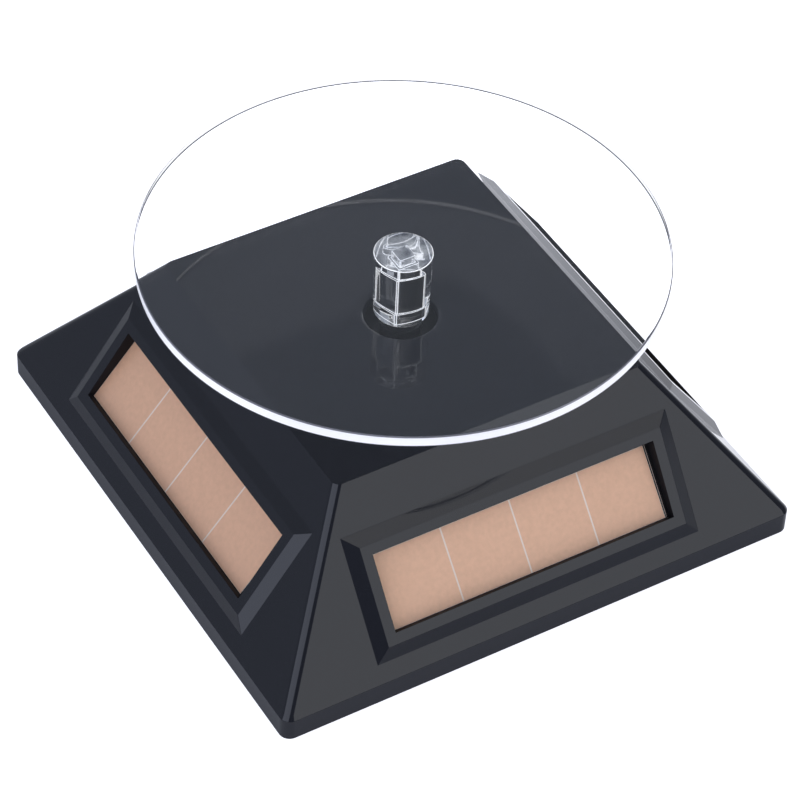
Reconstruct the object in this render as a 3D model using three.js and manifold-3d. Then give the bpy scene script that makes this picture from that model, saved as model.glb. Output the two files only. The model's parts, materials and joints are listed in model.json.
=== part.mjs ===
// A solar and battery powered turntable display stand, in millimetres, +Z up.
// The origin is on the surface the stand rests on, at the middle of its square base. The front is -Y.
import * as THREE from "three";
import { ConvexGeometry } from "three/addons/geometries/ConvexGeometry.js";
import { mergeVertices } from "three/addons/utils/BufferGeometryUtils.js";
import Module from "manifold-3d";

const wasm = await Module();
wasm.setup();

// ---------- driving dimensions ----------
const GAP = 0.3; // clearance between neighbouring pieces
const FIT = 0.06; // radial clearance of a shaft in its hole
const PAST = 1; // how far a cutter runs past the face it cuts
const EMBED = 0.5; // how far joined solids run into each other
const SEATED = 0.05; // the hairline between a seated face and its seat

// Housing. Heights are above the housing's bottom edge, which the feet hold FOOT_PROUD off the surface.
const BASE_HALF = 50;
const SKIRT_HEIGHT = 4.2;
const DECK_HEIGHT = 31.53;
const DECK_HALF = 29.87;
const SKIRT_CORNER = 2;
const RIDGE_CORNER = 1.6;
const RIDGE_START = 0.8; // height above the skirt where its corner has drawn in to the ridge's
const DECK_CORNER = 1.6;
const SHELL_WALL = 1.8;
const SKIRT_WALL = 2;
const INNER_CORNER = 2;
const DECK_HOLE_RADIUS = 6.2;
const DECK_HOLE_CHAMFER = 1;
const SLOPE = Math.atan2(DECK_HEIGHT - SKIRT_HEIGHT, BASE_HALF - DECK_HALF);
const DECK_UNDERSIDE = DECK_HEIGHT - SHELL_WALL;

// Window frame on each face: half width along the face, then the span up the slope from the skirt.
const FRAME_FOOT = { half: 31.6, low: 3.3, high: 25.5 };
const FRAME_TOP = { half: 29.25, low: 5.65, high: 23.1 };
const WINDOW = { half: 27.3, low: 7.6, high: 21.3 };
const FRAME_PROUD = 1;
const CELL_MARGIN = 1;
const CELL_DEPTH = 0.4; // face plane to cell front, at the window's lower edge
const CELL_TILT = THREE.MathUtils.degToRad(5); // the cells lean back a little more than the faces
const CELL_THICKNESS = 1.1;
const POCKET_REACH = 4; // past the shell's inner surface

// Disc, hub and spindle.
const DISC_RADIUS = 45.1;
const DISC_THICKNESS = 2.2;
const DISC_TOP = 47.4;
const DISC_EDGE = 0.2;
const HUB_BOTTOM = 32.1;
const HUB_FOOT_RADIUS = 4.75;
const HUB_HEAD_RADIUS = 5.1;
const SOCKET_MOUTH = { extra: 0.45, height: 2.2 }; // the socket is wider at the foot
const HUB_EDGE = 0.3;
const PEG_SIDE = 3.7;
const PEG_TOP = 41.5;
const PEG_TIP_SIDE = 2.75;
const PEG_TIP_TOP = 44.4;
const PEG_CLEARANCE = 0.15;
const JOURNAL_RADIUS = 2.3;
const FLANGE_RADIUS = 3.2; // rests just above the gearbox collar
const FLANGE_THICKNESS = 0.85;
const PIVOT_RADIUS = 1.25;
const WHEEL_SEAT_SIDE = 3;

// Gear train: three equal stages from the motor's pinion to the spindle's gear.
const MODULE = 0.55;
const WHEEL_TEETH = 36;
const PINION_TEETH = 10;
const PROFILE_SHIFT = 0.4;
const BACKLASH = 0.12;
const PRESSURE_ANGLE = (20 * Math.PI) / 180;
const CENTRES = ((WHEEL_TEETH + PINION_TEETH) * MODULE) / 2;
const DEDENDUM = 1.25; // in modules
const WHEEL_ADDENDUM = 1;
const PINION_ADDENDUM = 0.9;
const WHEEL_THICKNESS = 2;
const WHEEL_HUB_RADIUS = 1.6;
const PIN_RADIUS = 0.75;
const STAGE_ANGLES = [150, -100, -20]; // degrees, each shaft seen from the one before, spindle outwards
const SPINDLE_WHEEL_Z = 23.3;
const WHEEL_2_Z = 20.3;
const WHEEL_1_Z = 17.5;
const MOTOR_PINION_Z = 16.9;
const MOTOR_PINION_TOP = 19.6;
const PINION_1_TOP = 22.5;
const PINION_2_TOP = 25.5;
const WASHER = { inner: 2.2, outer: 3.6, bottom: 25.36, top: 25.6 };

// Gearbox plates.
const PLATE = { cx: -6.25, cy: -3, width: 37, depth: 41, corner: 3, thickness: 1.2 };
const LOWER_PLATE_Z = 15.4;
const UPPER_PLATE_Z = 26;
const PILLAR_RADIUS = 2.2;
const PILLARS = [
  [-22, 14.5],
  [9.5, 14.5],
  [9.5, -20.5],
  [-22, -20.5],
];
const COLLAR_RADIUS = 3.7;
const COLLAR_TOP = 29.9;
const FLANGE_BOTTOM = COLLAR_TOP + GAP / 2;
const DECK_BOSS = { radius: 2.6, bottom: 27.5, pilotRadius: 0.9 };
const GEARBOX_SCREW_HOLE_RADIUS = 1.1;

// Motor, under the lower plate.
const MOTOR_RADIUS = 12.2;
const MOTOR_TOP = 15.1;
const MOTOR_BOTTOM = 2.8;
const MOTOR_WALL = 0.8;
const MOTOR_EDGE = 0.6;
const MOTOR_NECK = { radius: 3, height: 1, holeRadius: 3.3 };
const MOTOR_SHAFT_RADIUS = 1;
const MOTOR_SHAFT = { bottom: 3.3, top: 19.7 };
const MOTOR_SCREW_OFFSET = 8;
const MOTOR_SCREW_ANGLE = 60;
const MOTOR_SCREW_HOLE_RADIUS = 1;
const MOTOR_THREAD_RADIUS = 0.9;
const MAGNET = { inner: 8.6, bottom: 5.6, top: 13.4 };
const COMMUTATOR = { radius: 2.2, bottom: 4.5, top: 6.2 };
const END_CAP = { thickness: 1.5, floor: 0.45 };
const ARMATURE = { poles: 3, hub: 3, bottom: 7, top: 12, armWidth: 4.8, armEnd: 7.2 };
const POLE_SHOE = { inner: 6.6, outer: 8.2, halfWidth: 5.2, proud: 0.2 };

// Bottom cover, battery tray and door.
const COVER_BOTTOM = 0.3;
const COVER_TOP = 2;
const COVER_HALF = BASE_HALF - SKIRT_WALL - GAP;
const COVER_CORNER = 1.5;
const BATTERY = { y: 30, z: 10.2, radius: 7.1, half: 24.6, edge: 0.5, nub: 1.2, nubRadius: 2.7 };
const TRAY_INNER_RADIUS = 7.85;
const TRAY_WALL = 1.2;
const TRAY_INNER_HALF = 28.5;
const DOOR_HALF = 26.2;
const DOOR_HALF_WIDTH = 7.6;
const DOOR_THICKNESS = 1.5;
const DOOR_CORNER = 0.8;
const TONGUE = { offset: 5.4, halfWidth: 1.5, reach: 1.3, thickness: 0.7, root: 1 };
const SCALLOP = { offset: 2.5, radius: 4.5, depth: 0.8 };
const BOSS_PLACE = 35.5;
const BOSS_RADIUS = 3;
const BOSS_PILOT = { radius: 1.1, top: 14 };
const COUNTERBORE = { radius: 2.9, depth: 1, holeRadius: 1.5 };
const FOOT_PLACE = 42.5;
const FOOT_RADIUS = 4;
const FOOT_PROUD = 0.8;
const FOOT_RECESS = 0.9;
const FOOT_EDGE = 0.4;

// Screws, seat to tip.
const GEARBOX_SCREW = { shankRadius: 0.8, headRadius: 1.9, headHeight: 1.1, length: 13.8 };
const MOTOR_SCREW = { shankRadius: 0.75, headRadius: 1.5, headHeight: 0.75, length: 2.4, up: false };
const COVER_SCREW = { shankRadius: 0.95, headRadius: 2.6, headHeight: 0.9, length: 10, recess: true };

// Battery contacts: a plate at each end of the tray, with a solder tab through a slot above the battery.
const CONTACT = { thickness: 0.4, halfWidth: 4.5, below: 5.5, above: 5 };
const TAB = { halfWidth: 1.2, reach: 3.5, bottom: 14, top: 14.4 };
const TAB_SLOT = { halfLength: 40, clearance: 0.4 };
const DIMPLE = { radius: 2, height: 1.4 };
const SPRING = { turns: 2.5, wide: 4, narrow: 2.4, wire: 0.3, endGap: 0.45 };
const SPRING_STEPS = 30;

// Leads.
const LEAD_RADIUS = 0.45;
const BOARD = { x: 24, y: -8, z: 4.2, width: 12, depth: 14, thickness: 1 };
const STANDOFF = { offset: 4.5, radius: 1.5 };

// ---------- materials ----------
const surface = (color, roughness, metalness = 0) =>
  new THREE.MeshStandardMaterial({ color, roughness, metalness });
const BLACK_GLOSS = surface(0x2b2d33, 0.15);
const BLACK_SATIN = surface(0x26282c, 0.4);
const CLEAR = surface(0xeef3f6, 0.03);
CLEAR.transparent = true;
CLEAR.opacity = 0.3;
const CELL_FILM = surface(0xcca38e, 0.35);
const RUBBER = surface(0x1c1c1e, 0.9);
const STEEL = surface(0xb9bcc0, 0.3, 1);
const BRASS = surface(0xc09a4a, 0.35, 1);
const COPPER = surface(0xb36a3c, 0.4, 1);
const WHITE_PLASTIC = surface(0xe8e6df, 0.45);
const FERRITE = surface(0x3a3a3c, 0.7);
const LABEL_GREEN = surface(0x4f7d62, 0.5);
const BOARD_GREEN = surface(0x2f6b45, 0.5);
const LEAD_RED = surface(0xa8271f, 0.5);
const LEAD_BLACK = surface(0x232323, 0.5);

// ---------- solids ----------
function toSolid(geometry) {
  const bare = geometry.index ? geometry.toNonIndexed() : geometry.clone();
  bare.deleteAttribute("normal");
  bare.deleteAttribute("uv");
  const merged = mergeVertices(bare, 1e-4);
  return new wasm.Manifold(
    new wasm.Mesh({
      numProp: 3,
      vertProperties: new Float32Array(merged.attributes.position.array),
      triVerts: new Uint32Array(merged.index.array),
    }),
  );
}

function toGeometry(solid) {
  const { vertProperties, triVerts } = solid.getMesh();
  const geometry = new THREE.BufferGeometry();
  geometry.setAttribute("position", new THREE.BufferAttribute(new Float32Array(vertProperties), 3));
  geometry.setIndex(new THREE.BufferAttribute(new Uint32Array(triVerts), 1));
  geometry.computeVertexNormals();
  return geometry;
}

// Adds, then cuts, lists of geometries, and gives back one geometry.
function carve(base, { add = [], cut = [] }) {
  let solid = toSolid(base);
  for (const geometry of add) {
    solid = solid.add(toSolid(geometry));
  }
  for (const geometry of cut) {
    solid = solid.subtract(toSolid(geometry));
  }
  return toGeometry(solid);
}

const keepInside = (geometry, limit) => toGeometry(toSolid(geometry).intersect(toSolid(limit)));

// A box from its lowest corner to its highest.
function boxBetween([x0, y0, z0], [x1, y1, z1]) {
  const box = new THREE.BoxGeometry(x1 - x0, y1 - y0, z1 - z0);
  return box.translate((x0 + x1) / 2, (y0 + y1) / 2, (z0 + z1) / 2);
}

// A solid of revolution about +Z. Points are [radius, z], from the axis at the bottom to the axis
// at the top, or a closed ring given bottom outer edge first.
function turned(points, segments = 24) {
  const profile = points.map(([r, z]) => new THREE.Vector2(r, z));
  return new THREE.LatheGeometry(profile, segments).rotateX(Math.PI / 2);
}

const turnedRing = (inner, outer, z0, z1, segments = 24) =>
  turned(
    [
      [inner, z0],
      [outer, z0],
      [outer, z1],
      [inner, z1],
      [inner, z0],
    ],
    segments,
  );

const rod = (radius, z0, z1, segments = 16) =>
  turned(
    [
      [0, z0],
      [radius, z0],
      [radius, z1],
      [0, z1],
    ],
    segments,
  );

const rodAt = (x, y, radius, z0, z1, segments = 12) => rod(radius, z0, z1, segments).translate(x, y, 0);

function extruded(shape, z0, z1, curveSegments = 6) {
  const geometry = new THREE.ExtrudeGeometry(shape, { depth: z1 - z0, bevelEnabled: false, curveSegments });
  return geometry.translate(0, 0, z0);
}

function roundedRectangle(halfX, halfY, corner) {
  const shape = new THREE.Shape();
  const x = halfX - corner;
  const y = halfY - corner;
  shape.absarc(x, y, corner, 0, Math.PI / 2);
  shape.absarc(-x, y, corner, Math.PI / 2, Math.PI);
  shape.absarc(-x, -y, corner, Math.PI, 1.5 * Math.PI);
  shape.absarc(x, -y, corner, 1.5 * Math.PI, 2 * Math.PI);
  shape.closePath();
  return shape;
}

// Points of a rounded square at height z, for a convex hull.
function squareRing(half, corner, z, steps = 5) {
  const points = [];
  for (let quarter = 0; quarter < 4; quarter++) {
    const turn = new THREE.Matrix4().makeRotationZ((quarter * Math.PI) / 2);
    for (let step = 0; step <= steps; step++) {
      const angle = (step / steps) * (Math.PI / 2);
      const reach = half - corner;
      const point = new THREE.Vector3(reach + corner * Math.cos(angle), reach + corner * Math.sin(angle), z);
      points.push(point.applyMatrix4(turn));
    }
  }
  return points;
}

// The polar place of one shaft from another.
const stepFrom = ([x, y], degrees, distance) => {
  const angle = THREE.MathUtils.degToRad(degrees);
  return [x + distance * Math.cos(angle), y + distance * Math.sin(angle)];
};

// Turns geometry made in the front face's own frame (x across, y up the slope, z outwards) to face number k.
function faceMatrix(k) {
  const turn = new THREE.Matrix4().makeRotationZ((k * Math.PI) / 2);
  const place = new THREE.Matrix4().makeTranslation(0, -BASE_HALF, SKIRT_HEIGHT);
  const tilt = new THREE.Matrix4().makeRotationX(SLOPE);
  return turn.multiply(place).multiply(tilt);
}

// ---------- mesh and group helpers ----------
const stand = new THREE.Group();
const housing = new THREE.Group(); // everything is placed above the housing's bottom edge
housing.position.z = FOOT_PROUD;
stand.add(housing);

function piece(name, geometry, material, parent = housing) {
  const mesh = new THREE.Mesh(geometry, material);
  mesh.name = name;
  parent.add(mesh);
  return mesh;
}

// ---------- shafts of the gear train ----------
const SPINDLE = [0, 0];
const SHAFT_2 = stepFrom(SPINDLE, STAGE_ANGLES[0], CENTRES);
const SHAFT_1 = stepFrom(SHAFT_2, STAGE_ANGLES[1], CENTRES);
const MOTOR = stepFrom(SHAFT_1, STAGE_ANGLES[2], CENTRES);
const MOTOR_SCREWS = [MOTOR_SCREW_ANGLE, MOTOR_SCREW_ANGLE + 180].map((degrees) =>
  stepFrom(MOTOR, degrees, MOTOR_SCREW_OFFSET),
);

// ---------- upper housing ----------
function housingOuter() {
  return new ConvexGeometry([
    ...squareRing(BASE_HALF, SKIRT_CORNER, 0),
    ...squareRing(BASE_HALF, SKIRT_CORNER, SKIRT_HEIGHT),
    ...squareRing(BASE_HALF - RIDGE_START / Math.tan(SLOPE), RIDGE_CORNER, SKIRT_HEIGHT + RIDGE_START),
    ...squareRing(DECK_HALF, DECK_CORNER, DECK_HEIGHT),
  ]);
}

function housingHollow() {
  const inward = SHELL_WALL / Math.sin(SLOPE);
  const perHeight = 1 / Math.tan(SLOPE);
  const skirtInner = BASE_HALF - SKIRT_WALL;
  const bend = SKIRT_HEIGHT - (inward - SKIRT_WALL) * Math.tan(SLOPE);
  const top = BASE_HALF - inward - (DECK_UNDERSIDE - SKIRT_HEIGHT) * perHeight;
  return new ConvexGeometry([
    ...squareRing(skirtInner, INNER_CORNER, -PAST),
    ...squareRing(skirtInner, INNER_CORNER, bend),
    ...squareRing(top, DECK_CORNER, DECK_UNDERSIDE),
  ]);
}

function frameSolid() {
  const corners = [];
  for (const side of [-1, 1]) {
    for (const edge of ["low", "high"]) {
      corners.push(new THREE.Vector3(side * FRAME_FOOT.half, FRAME_FOOT[edge], -SHELL_WALL / 2));
      corners.push(new THREE.Vector3(side * FRAME_FOOT.half, FRAME_FOOT[edge], 0));
      corners.push(new THREE.Vector3(side * FRAME_TOP.half, FRAME_TOP[edge], FRAME_PROUD));
    }
  }
  return new ConvexGeometry(corners);
}

function windowCutter() {
  const { half, low, high } = WINDOW;
  return boxBetween([-half, low, -SHELL_WALL - PAST], [half, high, FRAME_PROUD + PAST]);
}

// Turns geometry made on the front cell's own face (y = 0 at the window's lower edge) to cell number k.
function cellMatrix(k) {
  const place = new THREE.Matrix4().makeTranslation(0, WINDOW.low, -CELL_DEPTH);
  const lean = new THREE.Matrix4().makeRotationX(-CELL_TILT);
  return faceMatrix(k).multiply(place).multiply(lean);
}

// A cell's size, or with a clearance the size of the pocket it drops into.
function cellSpan(clearance = 0) {
  const reach = CELL_MARGIN + clearance;
  const half = WINDOW.half + reach;
  return { half, low: -reach, high: WINDOW.high - WINDOW.low + reach };
}

function cellPocket() {
  const { half, low, high } = cellSpan(GAP);
  return boxBetween([-half, low, -POCKET_REACH], [half, high, GAP]);
}

function upperHousing() {
  const outer = housingOuter();
  const frames = [];
  const cuts = [];
  for (let face = 0; face < 4; face++) {
    frames.push(frameSolid().applyMatrix4(faceMatrix(face)));
    cuts.push(windowCutter().applyMatrix4(faceMatrix(face)));
    cuts.push(cellPocket().applyMatrix4(cellMatrix(face)));
  }
  const bosses = [];
  const pilots = [];
  for (const x of [-BOSS_PLACE, BOSS_PLACE]) {
    for (const y of [-BOSS_PLACE, BOSS_PLACE]) {
      const boss = rodAt(x, y, BOSS_RADIUS, COVER_TOP + GAP, DECK_UNDERSIDE, 14);
      bosses.push(keepInside(boss, outer));
      pilots.push(rodAt(x, y, BOSS_PILOT.radius, 0, BOSS_PILOT.top, 8));
    }
  }
  for (const [x, y] of PILLARS) {
    bosses.push(rodAt(x, y, DECK_BOSS.radius, DECK_BOSS.bottom, DECK_UNDERSIDE + SHELL_WALL / 2));
    pilots.push(rodAt(x, y, DECK_BOSS.pilotRadius, DECK_BOSS.bottom - PAST, DECK_UNDERSIDE, 8));
  }
  const hole = turned(
    [
      [0, DECK_UNDERSIDE - PAST],
      [DECK_HOLE_RADIUS, DECK_UNDERSIDE - PAST],
      [DECK_HOLE_RADIUS, DECK_HEIGHT - DECK_HOLE_CHAMFER],
      [DECK_HOLE_RADIUS + DECK_HOLE_CHAMFER, DECK_HEIGHT],
      [DECK_HOLE_RADIUS + DECK_HOLE_CHAMFER, DECK_HEIGHT + PAST],
      [0, DECK_HEIGHT + PAST],
    ],
    40,
  );
  const shell = carve(outer, { add: frames, cut: [housingHollow()] });
  piece("upper_housing", carve(shell, { add: bosses, cut: [...cuts, ...pilots, hole] }), BLACK_GLOSS);
}

// ---------- solar cells ----------
function solarCells() {
  const { half, low, high } = cellSpan();
  ["front", "right", "back", "left"].forEach((side, face) => {
    const seat = new THREE.Group();
    seat.applyMatrix4(cellMatrix(face));
    housing.add(seat);
    const plate = boxBetween([-half, low, -CELL_THICKNESS], [half, high, 0]);
    piece("solar_cell_" + side, plate, CELL_FILM, seat);
  });
}

// ---------- disc, hub and spindle ----------
function displayDisc() {
  const bottom = DISC_TOP - DISC_THICKNESS;
  const disc = turned(
    [
      [0, bottom],
      [DISC_RADIUS - DISC_EDGE, bottom],
      [DISC_RADIUS, bottom + DISC_EDGE],
      [DISC_RADIUS, DISC_TOP - DISC_EDGE],
      [DISC_RADIUS - DISC_EDGE, DISC_TOP],
      [0, DISC_TOP],
    ],
    72,
  );
  piece("display_disc", disc, CLEAR);
}

const squarePeg = (side, z0, z1) => boxBetween([-side / 2, -side / 2, z0], [side / 2, side / 2, z1]);

function driveHub() {
  const top = DISC_TOP - DISC_THICKNESS - SEATED;
  const body = turned(
    [
      [0, HUB_BOTTOM],
      [HUB_FOOT_RADIUS - HUB_EDGE, HUB_BOTTOM],
      [HUB_FOOT_RADIUS, HUB_BOTTOM + HUB_EDGE],
      [HUB_HEAD_RADIUS, top - HUB_EDGE],
      [HUB_HEAD_RADIUS - HUB_EDGE, top],
      [0, top],
    ],
    28,
  );
  const wide = squarePeg(PEG_SIDE + 2 * PEG_CLEARANCE, HUB_BOTTOM - PAST, PEG_TOP + GAP);
  const narrow = squarePeg(PEG_TIP_SIDE + 2 * PEG_CLEARANCE, PEG_TOP, PEG_TIP_TOP + GAP);
  const mouthSide = PEG_SIDE + 2 * (PEG_CLEARANCE + SOCKET_MOUTH.extra);
  const mouth = squarePeg(mouthSide, HUB_BOTTOM - PAST, HUB_BOTTOM + SOCKET_MOUTH.height);
  piece("drive_hub", carve(body, { cut: [wide, narrow, mouth] }), CLEAR);
}

function spindle() {
  const seatBottom = SPINDLE_WHEEL_Z - GAP;
  const middle = FLANGE_BOTTOM + FLANGE_THICKNESS / 2;
  const pivot = rod(PIVOT_RADIUS, LOWER_PLATE_Z, seatBottom + EMBED, 20);
  const seat = squarePeg(WHEEL_SEAT_SIDE, seatBottom, UPPER_PLATE_Z - GAP);
  const journal = rod(JOURNAL_RADIUS, WASHER.top + SEATED, middle, 32);
  const flange = rod(FLANGE_RADIUS, FLANGE_BOTTOM, FLANGE_BOTTOM + FLANGE_THICKNESS, 32);
  const peg = squarePeg(PEG_SIDE, middle, PEG_TOP);
  const tip = squarePeg(PEG_TIP_SIDE, PEG_TOP - EMBED, PEG_TIP_TOP);
  piece("spindle", carve(pivot, { add: [seat, journal, flange, peg, tip] }), BLACK_SATIN);
}

// ---------- gears ----------
const involute = (angle) => Math.tan(angle) - angle;

// A spur gear outline with involute flanks. The first tooth points at angle phase.
function gearShape(teeth, shift, phase, addendum) {
  const pitch = (MODULE * teeth) / 2;
  const base = pitch * Math.cos(PRESSURE_ANGLE);
  const tip = pitch + MODULE * (addendum + shift);
  const root = pitch - MODULE * (DEDENDUM - shift);
  const thickness = MODULE * (Math.PI / 2 + 2 * shift * Math.tan(PRESSURE_ANGLE)) - BACKLASH / 2;
  const halfAt = (radius) => {
    const angle = Math.acos(Math.min(1, base / radius));
    return thickness / (2 * pitch) + involute(PRESSURE_ANGLE) - involute(angle);
  };
  const start = Math.max(base, root);
  const radii = [root, (start + tip) / 2, tip];
  const points = [];
  for (let tooth = 0; tooth < teeth; tooth++) {
    const middle = phase + (tooth * 2 * Math.PI) / teeth;
    for (const radius of radii) {
      points.push([radius, middle - halfAt(Math.max(radius, start))]);
    }
    for (const radius of [...radii].reverse()) {
      points.push([radius, middle + halfAt(Math.max(radius, start))]);
    }
  }
  return new THREE.Shape(points.map(([r, a]) => new THREE.Vector2(r * Math.cos(a), r * Math.sin(a))));
}

// Wheel and pinion share the same pair of shapes all through the train.
const wheelGeometry = (phase, z0) =>
  extruded(gearShape(WHEEL_TEETH, -PROFILE_SHIFT, phase, WHEEL_ADDENDUM), z0, z0 + WHEEL_THICKNESS);
const pinionGeometry = (phase, z0, z1) =>
  extruded(gearShape(PINION_TEETH, PROFILE_SHIFT, phase, PINION_ADDENDUM), z0, z1);

const bearing = (from, to) => Math.atan2(to[1] - from[1], to[0] - from[0]);
// A pinion tooth points at its wheel, and the wheel has a gap there.
const wheelPhase = (own, pinionPlace) => bearing(own, pinionPlace) + Math.PI / WHEEL_TEETH;

function compoundGear(name, place, driver, driven, wheelZ, pinionTop, hubBottom, hubTop) {
  const wheel = wheelGeometry(wheelPhase(place, driver), wheelZ);
  const pinion = pinionGeometry(bearing(place, driven), wheelZ + WHEEL_THICKNESS / 2, pinionTop);
  const lowHub = rod(WHEEL_HUB_RADIUS, hubBottom, wheelZ + EMBED);
  const highHub = rod(WHEEL_HUB_RADIUS, pinionTop - EMBED, hubTop);
  const bore = rod(PIN_RADIUS + FIT, hubBottom - PAST, hubTop + PAST);
  const mesh = piece(name, carve(wheel, { add: [pinion, lowHub, highHub], cut: [bore] }), WHITE_PLASTIC);
  mesh.position.set(place[0], place[1], 0);
}

function gears() {
  const hubLow = LOWER_PLATE_Z + PLATE.thickness + GAP;
  const hubHigh = UPPER_PLATE_Z - GAP;
  compoundGear("reduction_gear_1", SHAFT_1, MOTOR, SHAFT_2, WHEEL_1_Z, PINION_1_TOP, hubLow, hubHigh);
  compoundGear("reduction_gear_2", SHAFT_2, SHAFT_1, SPINDLE, WHEEL_2_Z, PINION_2_TOP, hubLow, hubHigh);
  const wheel = wheelGeometry(wheelPhase(SPINDLE, SHAFT_2), SPINDLE_WHEEL_Z);
  const wheelTop = SPINDLE_WHEEL_Z + WHEEL_THICKNESS;
  const square = squarePeg(WHEEL_SEAT_SIDE + 2 * FIT, SPINDLE_WHEEL_Z - PAST, wheelTop + PAST);
  piece("spindle_gear", carve(wheel, { cut: [square] }), WHITE_PLASTIC);
  const { inner, outer, bottom, top } = WASHER;
  piece("spindle_washer", turnedRing(inner, outer, bottom, top, 20), STEEL);
  [SHAFT_1, SHAFT_2].forEach(([x, y], index) => {
    const pin = rod(PIN_RADIUS, LOWER_PLATE_Z, UPPER_PLATE_Z + PLATE.thickness);
    piece("gear_pin_" + (index + 1), pin, STEEL).position.set(x, y, 0);
  });
}

// ---------- gearbox plates ----------
function plateSolid(z0) {
  const shape = roundedRectangle(PLATE.width / 2, PLATE.depth / 2, PLATE.corner);
  return extruded(shape, z0, z0 + PLATE.thickness).translate(PLATE.cx, PLATE.cy, 0);
}

function gearbox() {
  const lowerTop = LOWER_PLATE_Z + PLATE.thickness;
  const pillars = PILLARS.map(([x, y]) => rodAt(x, y, PILLAR_RADIUS, lowerTop - EMBED, UPPER_PLATE_Z - GAP));
  const screwHoles = PILLARS.map(([x, y]) => rodAt(x, y, GEARBOX_SCREW_HOLE_RADIUS, 0, DECK_HEIGHT, 10));
  const pinHoles = [SHAFT_1, SHAFT_2].map(([x, y]) => rodAt(x, y, PIN_RADIUS + FIT, 0, DECK_HEIGHT, 16));
  const motorHoles = MOTOR_SCREWS.map(([x, y]) =>
    rodAt(x, y, MOTOR_SCREW_HOLE_RADIUS, 0, UPPER_PLATE_Z, 10),
  );
  const pivotHole = rod(PIVOT_RADIUS + FIT, 0, UPPER_PLATE_Z, 20);
  const motorHole = rodAt(MOTOR[0], MOTOR[1], MOTOR_NECK.holeRadius, 0, UPPER_PLATE_Z, 20);
  const lowerCuts = [...screwHoles, ...pinHoles, ...motorHoles, pivotHole, motorHole];
  const lower = carve(plateSolid(LOWER_PLATE_Z), { add: pillars, cut: lowerCuts });
  piece("gearbox_base", lower, WHITE_PLASTIC);

  const collar = rod(COLLAR_RADIUS, UPPER_PLATE_Z + EMBED, COLLAR_TOP, 32);
  const journalHole = rod(JOURNAL_RADIUS + FIT, UPPER_PLATE_Z - PAST, DECK_HEIGHT, 32);
  const upperCuts = [...screwHoles, ...pinHoles, journalHole];
  piece("gearbox_cover", carve(plateSolid(UPPER_PLATE_Z), { add: [collar], cut: upperCuts }), BLACK_SATIN);

  PILLARS.forEach(([x, y], index) => {
    screw("gearbox_screw_" + (index + 1), x, y, LOWER_PLATE_Z - SEATED, GEARBOX_SCREW);
  });
}

// The two bars of a cross recess, in proportion to the screw's head.
function crossRecess(headRadius, headHeight) {
  const arm = headRadius * 0.6;
  const slot = headRadius * 0.14;
  const deep = -headHeight * 0.45;
  return [
    boxBetween([-arm, -slot, -headHeight - PAST], [arm, slot, deep]),
    boxBetween([-slot, -arm, -headHeight - PAST], [slot, arm, deep]),
  ];
}

// A pan-head screw. The head's seat is at z; the shank goes up from it, or down. Only the screws that are
// seen from outside have the cross recess cut.
function screw(name, x, y, z, { shankRadius, headRadius, headHeight, length, up = true, recess = false }) {
  const body = turned(
    [
      [0, -headHeight],
      [headRadius * 0.85, -headHeight],
      [headRadius, -headHeight * 0.6],
      [headRadius, 0],
      [shankRadius, 0],
      [shankRadius, length - shankRadius],
      [0, length],
    ],
    recess ? 16 : 10,
  );
  const mesh = piece(name, recess ? carve(body, { cut: crossRecess(headRadius, headHeight) }) : body, STEEL);
  mesh.position.set(x, y, z);
  mesh.rotation.x = up ? 0 : Math.PI;
}

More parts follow.
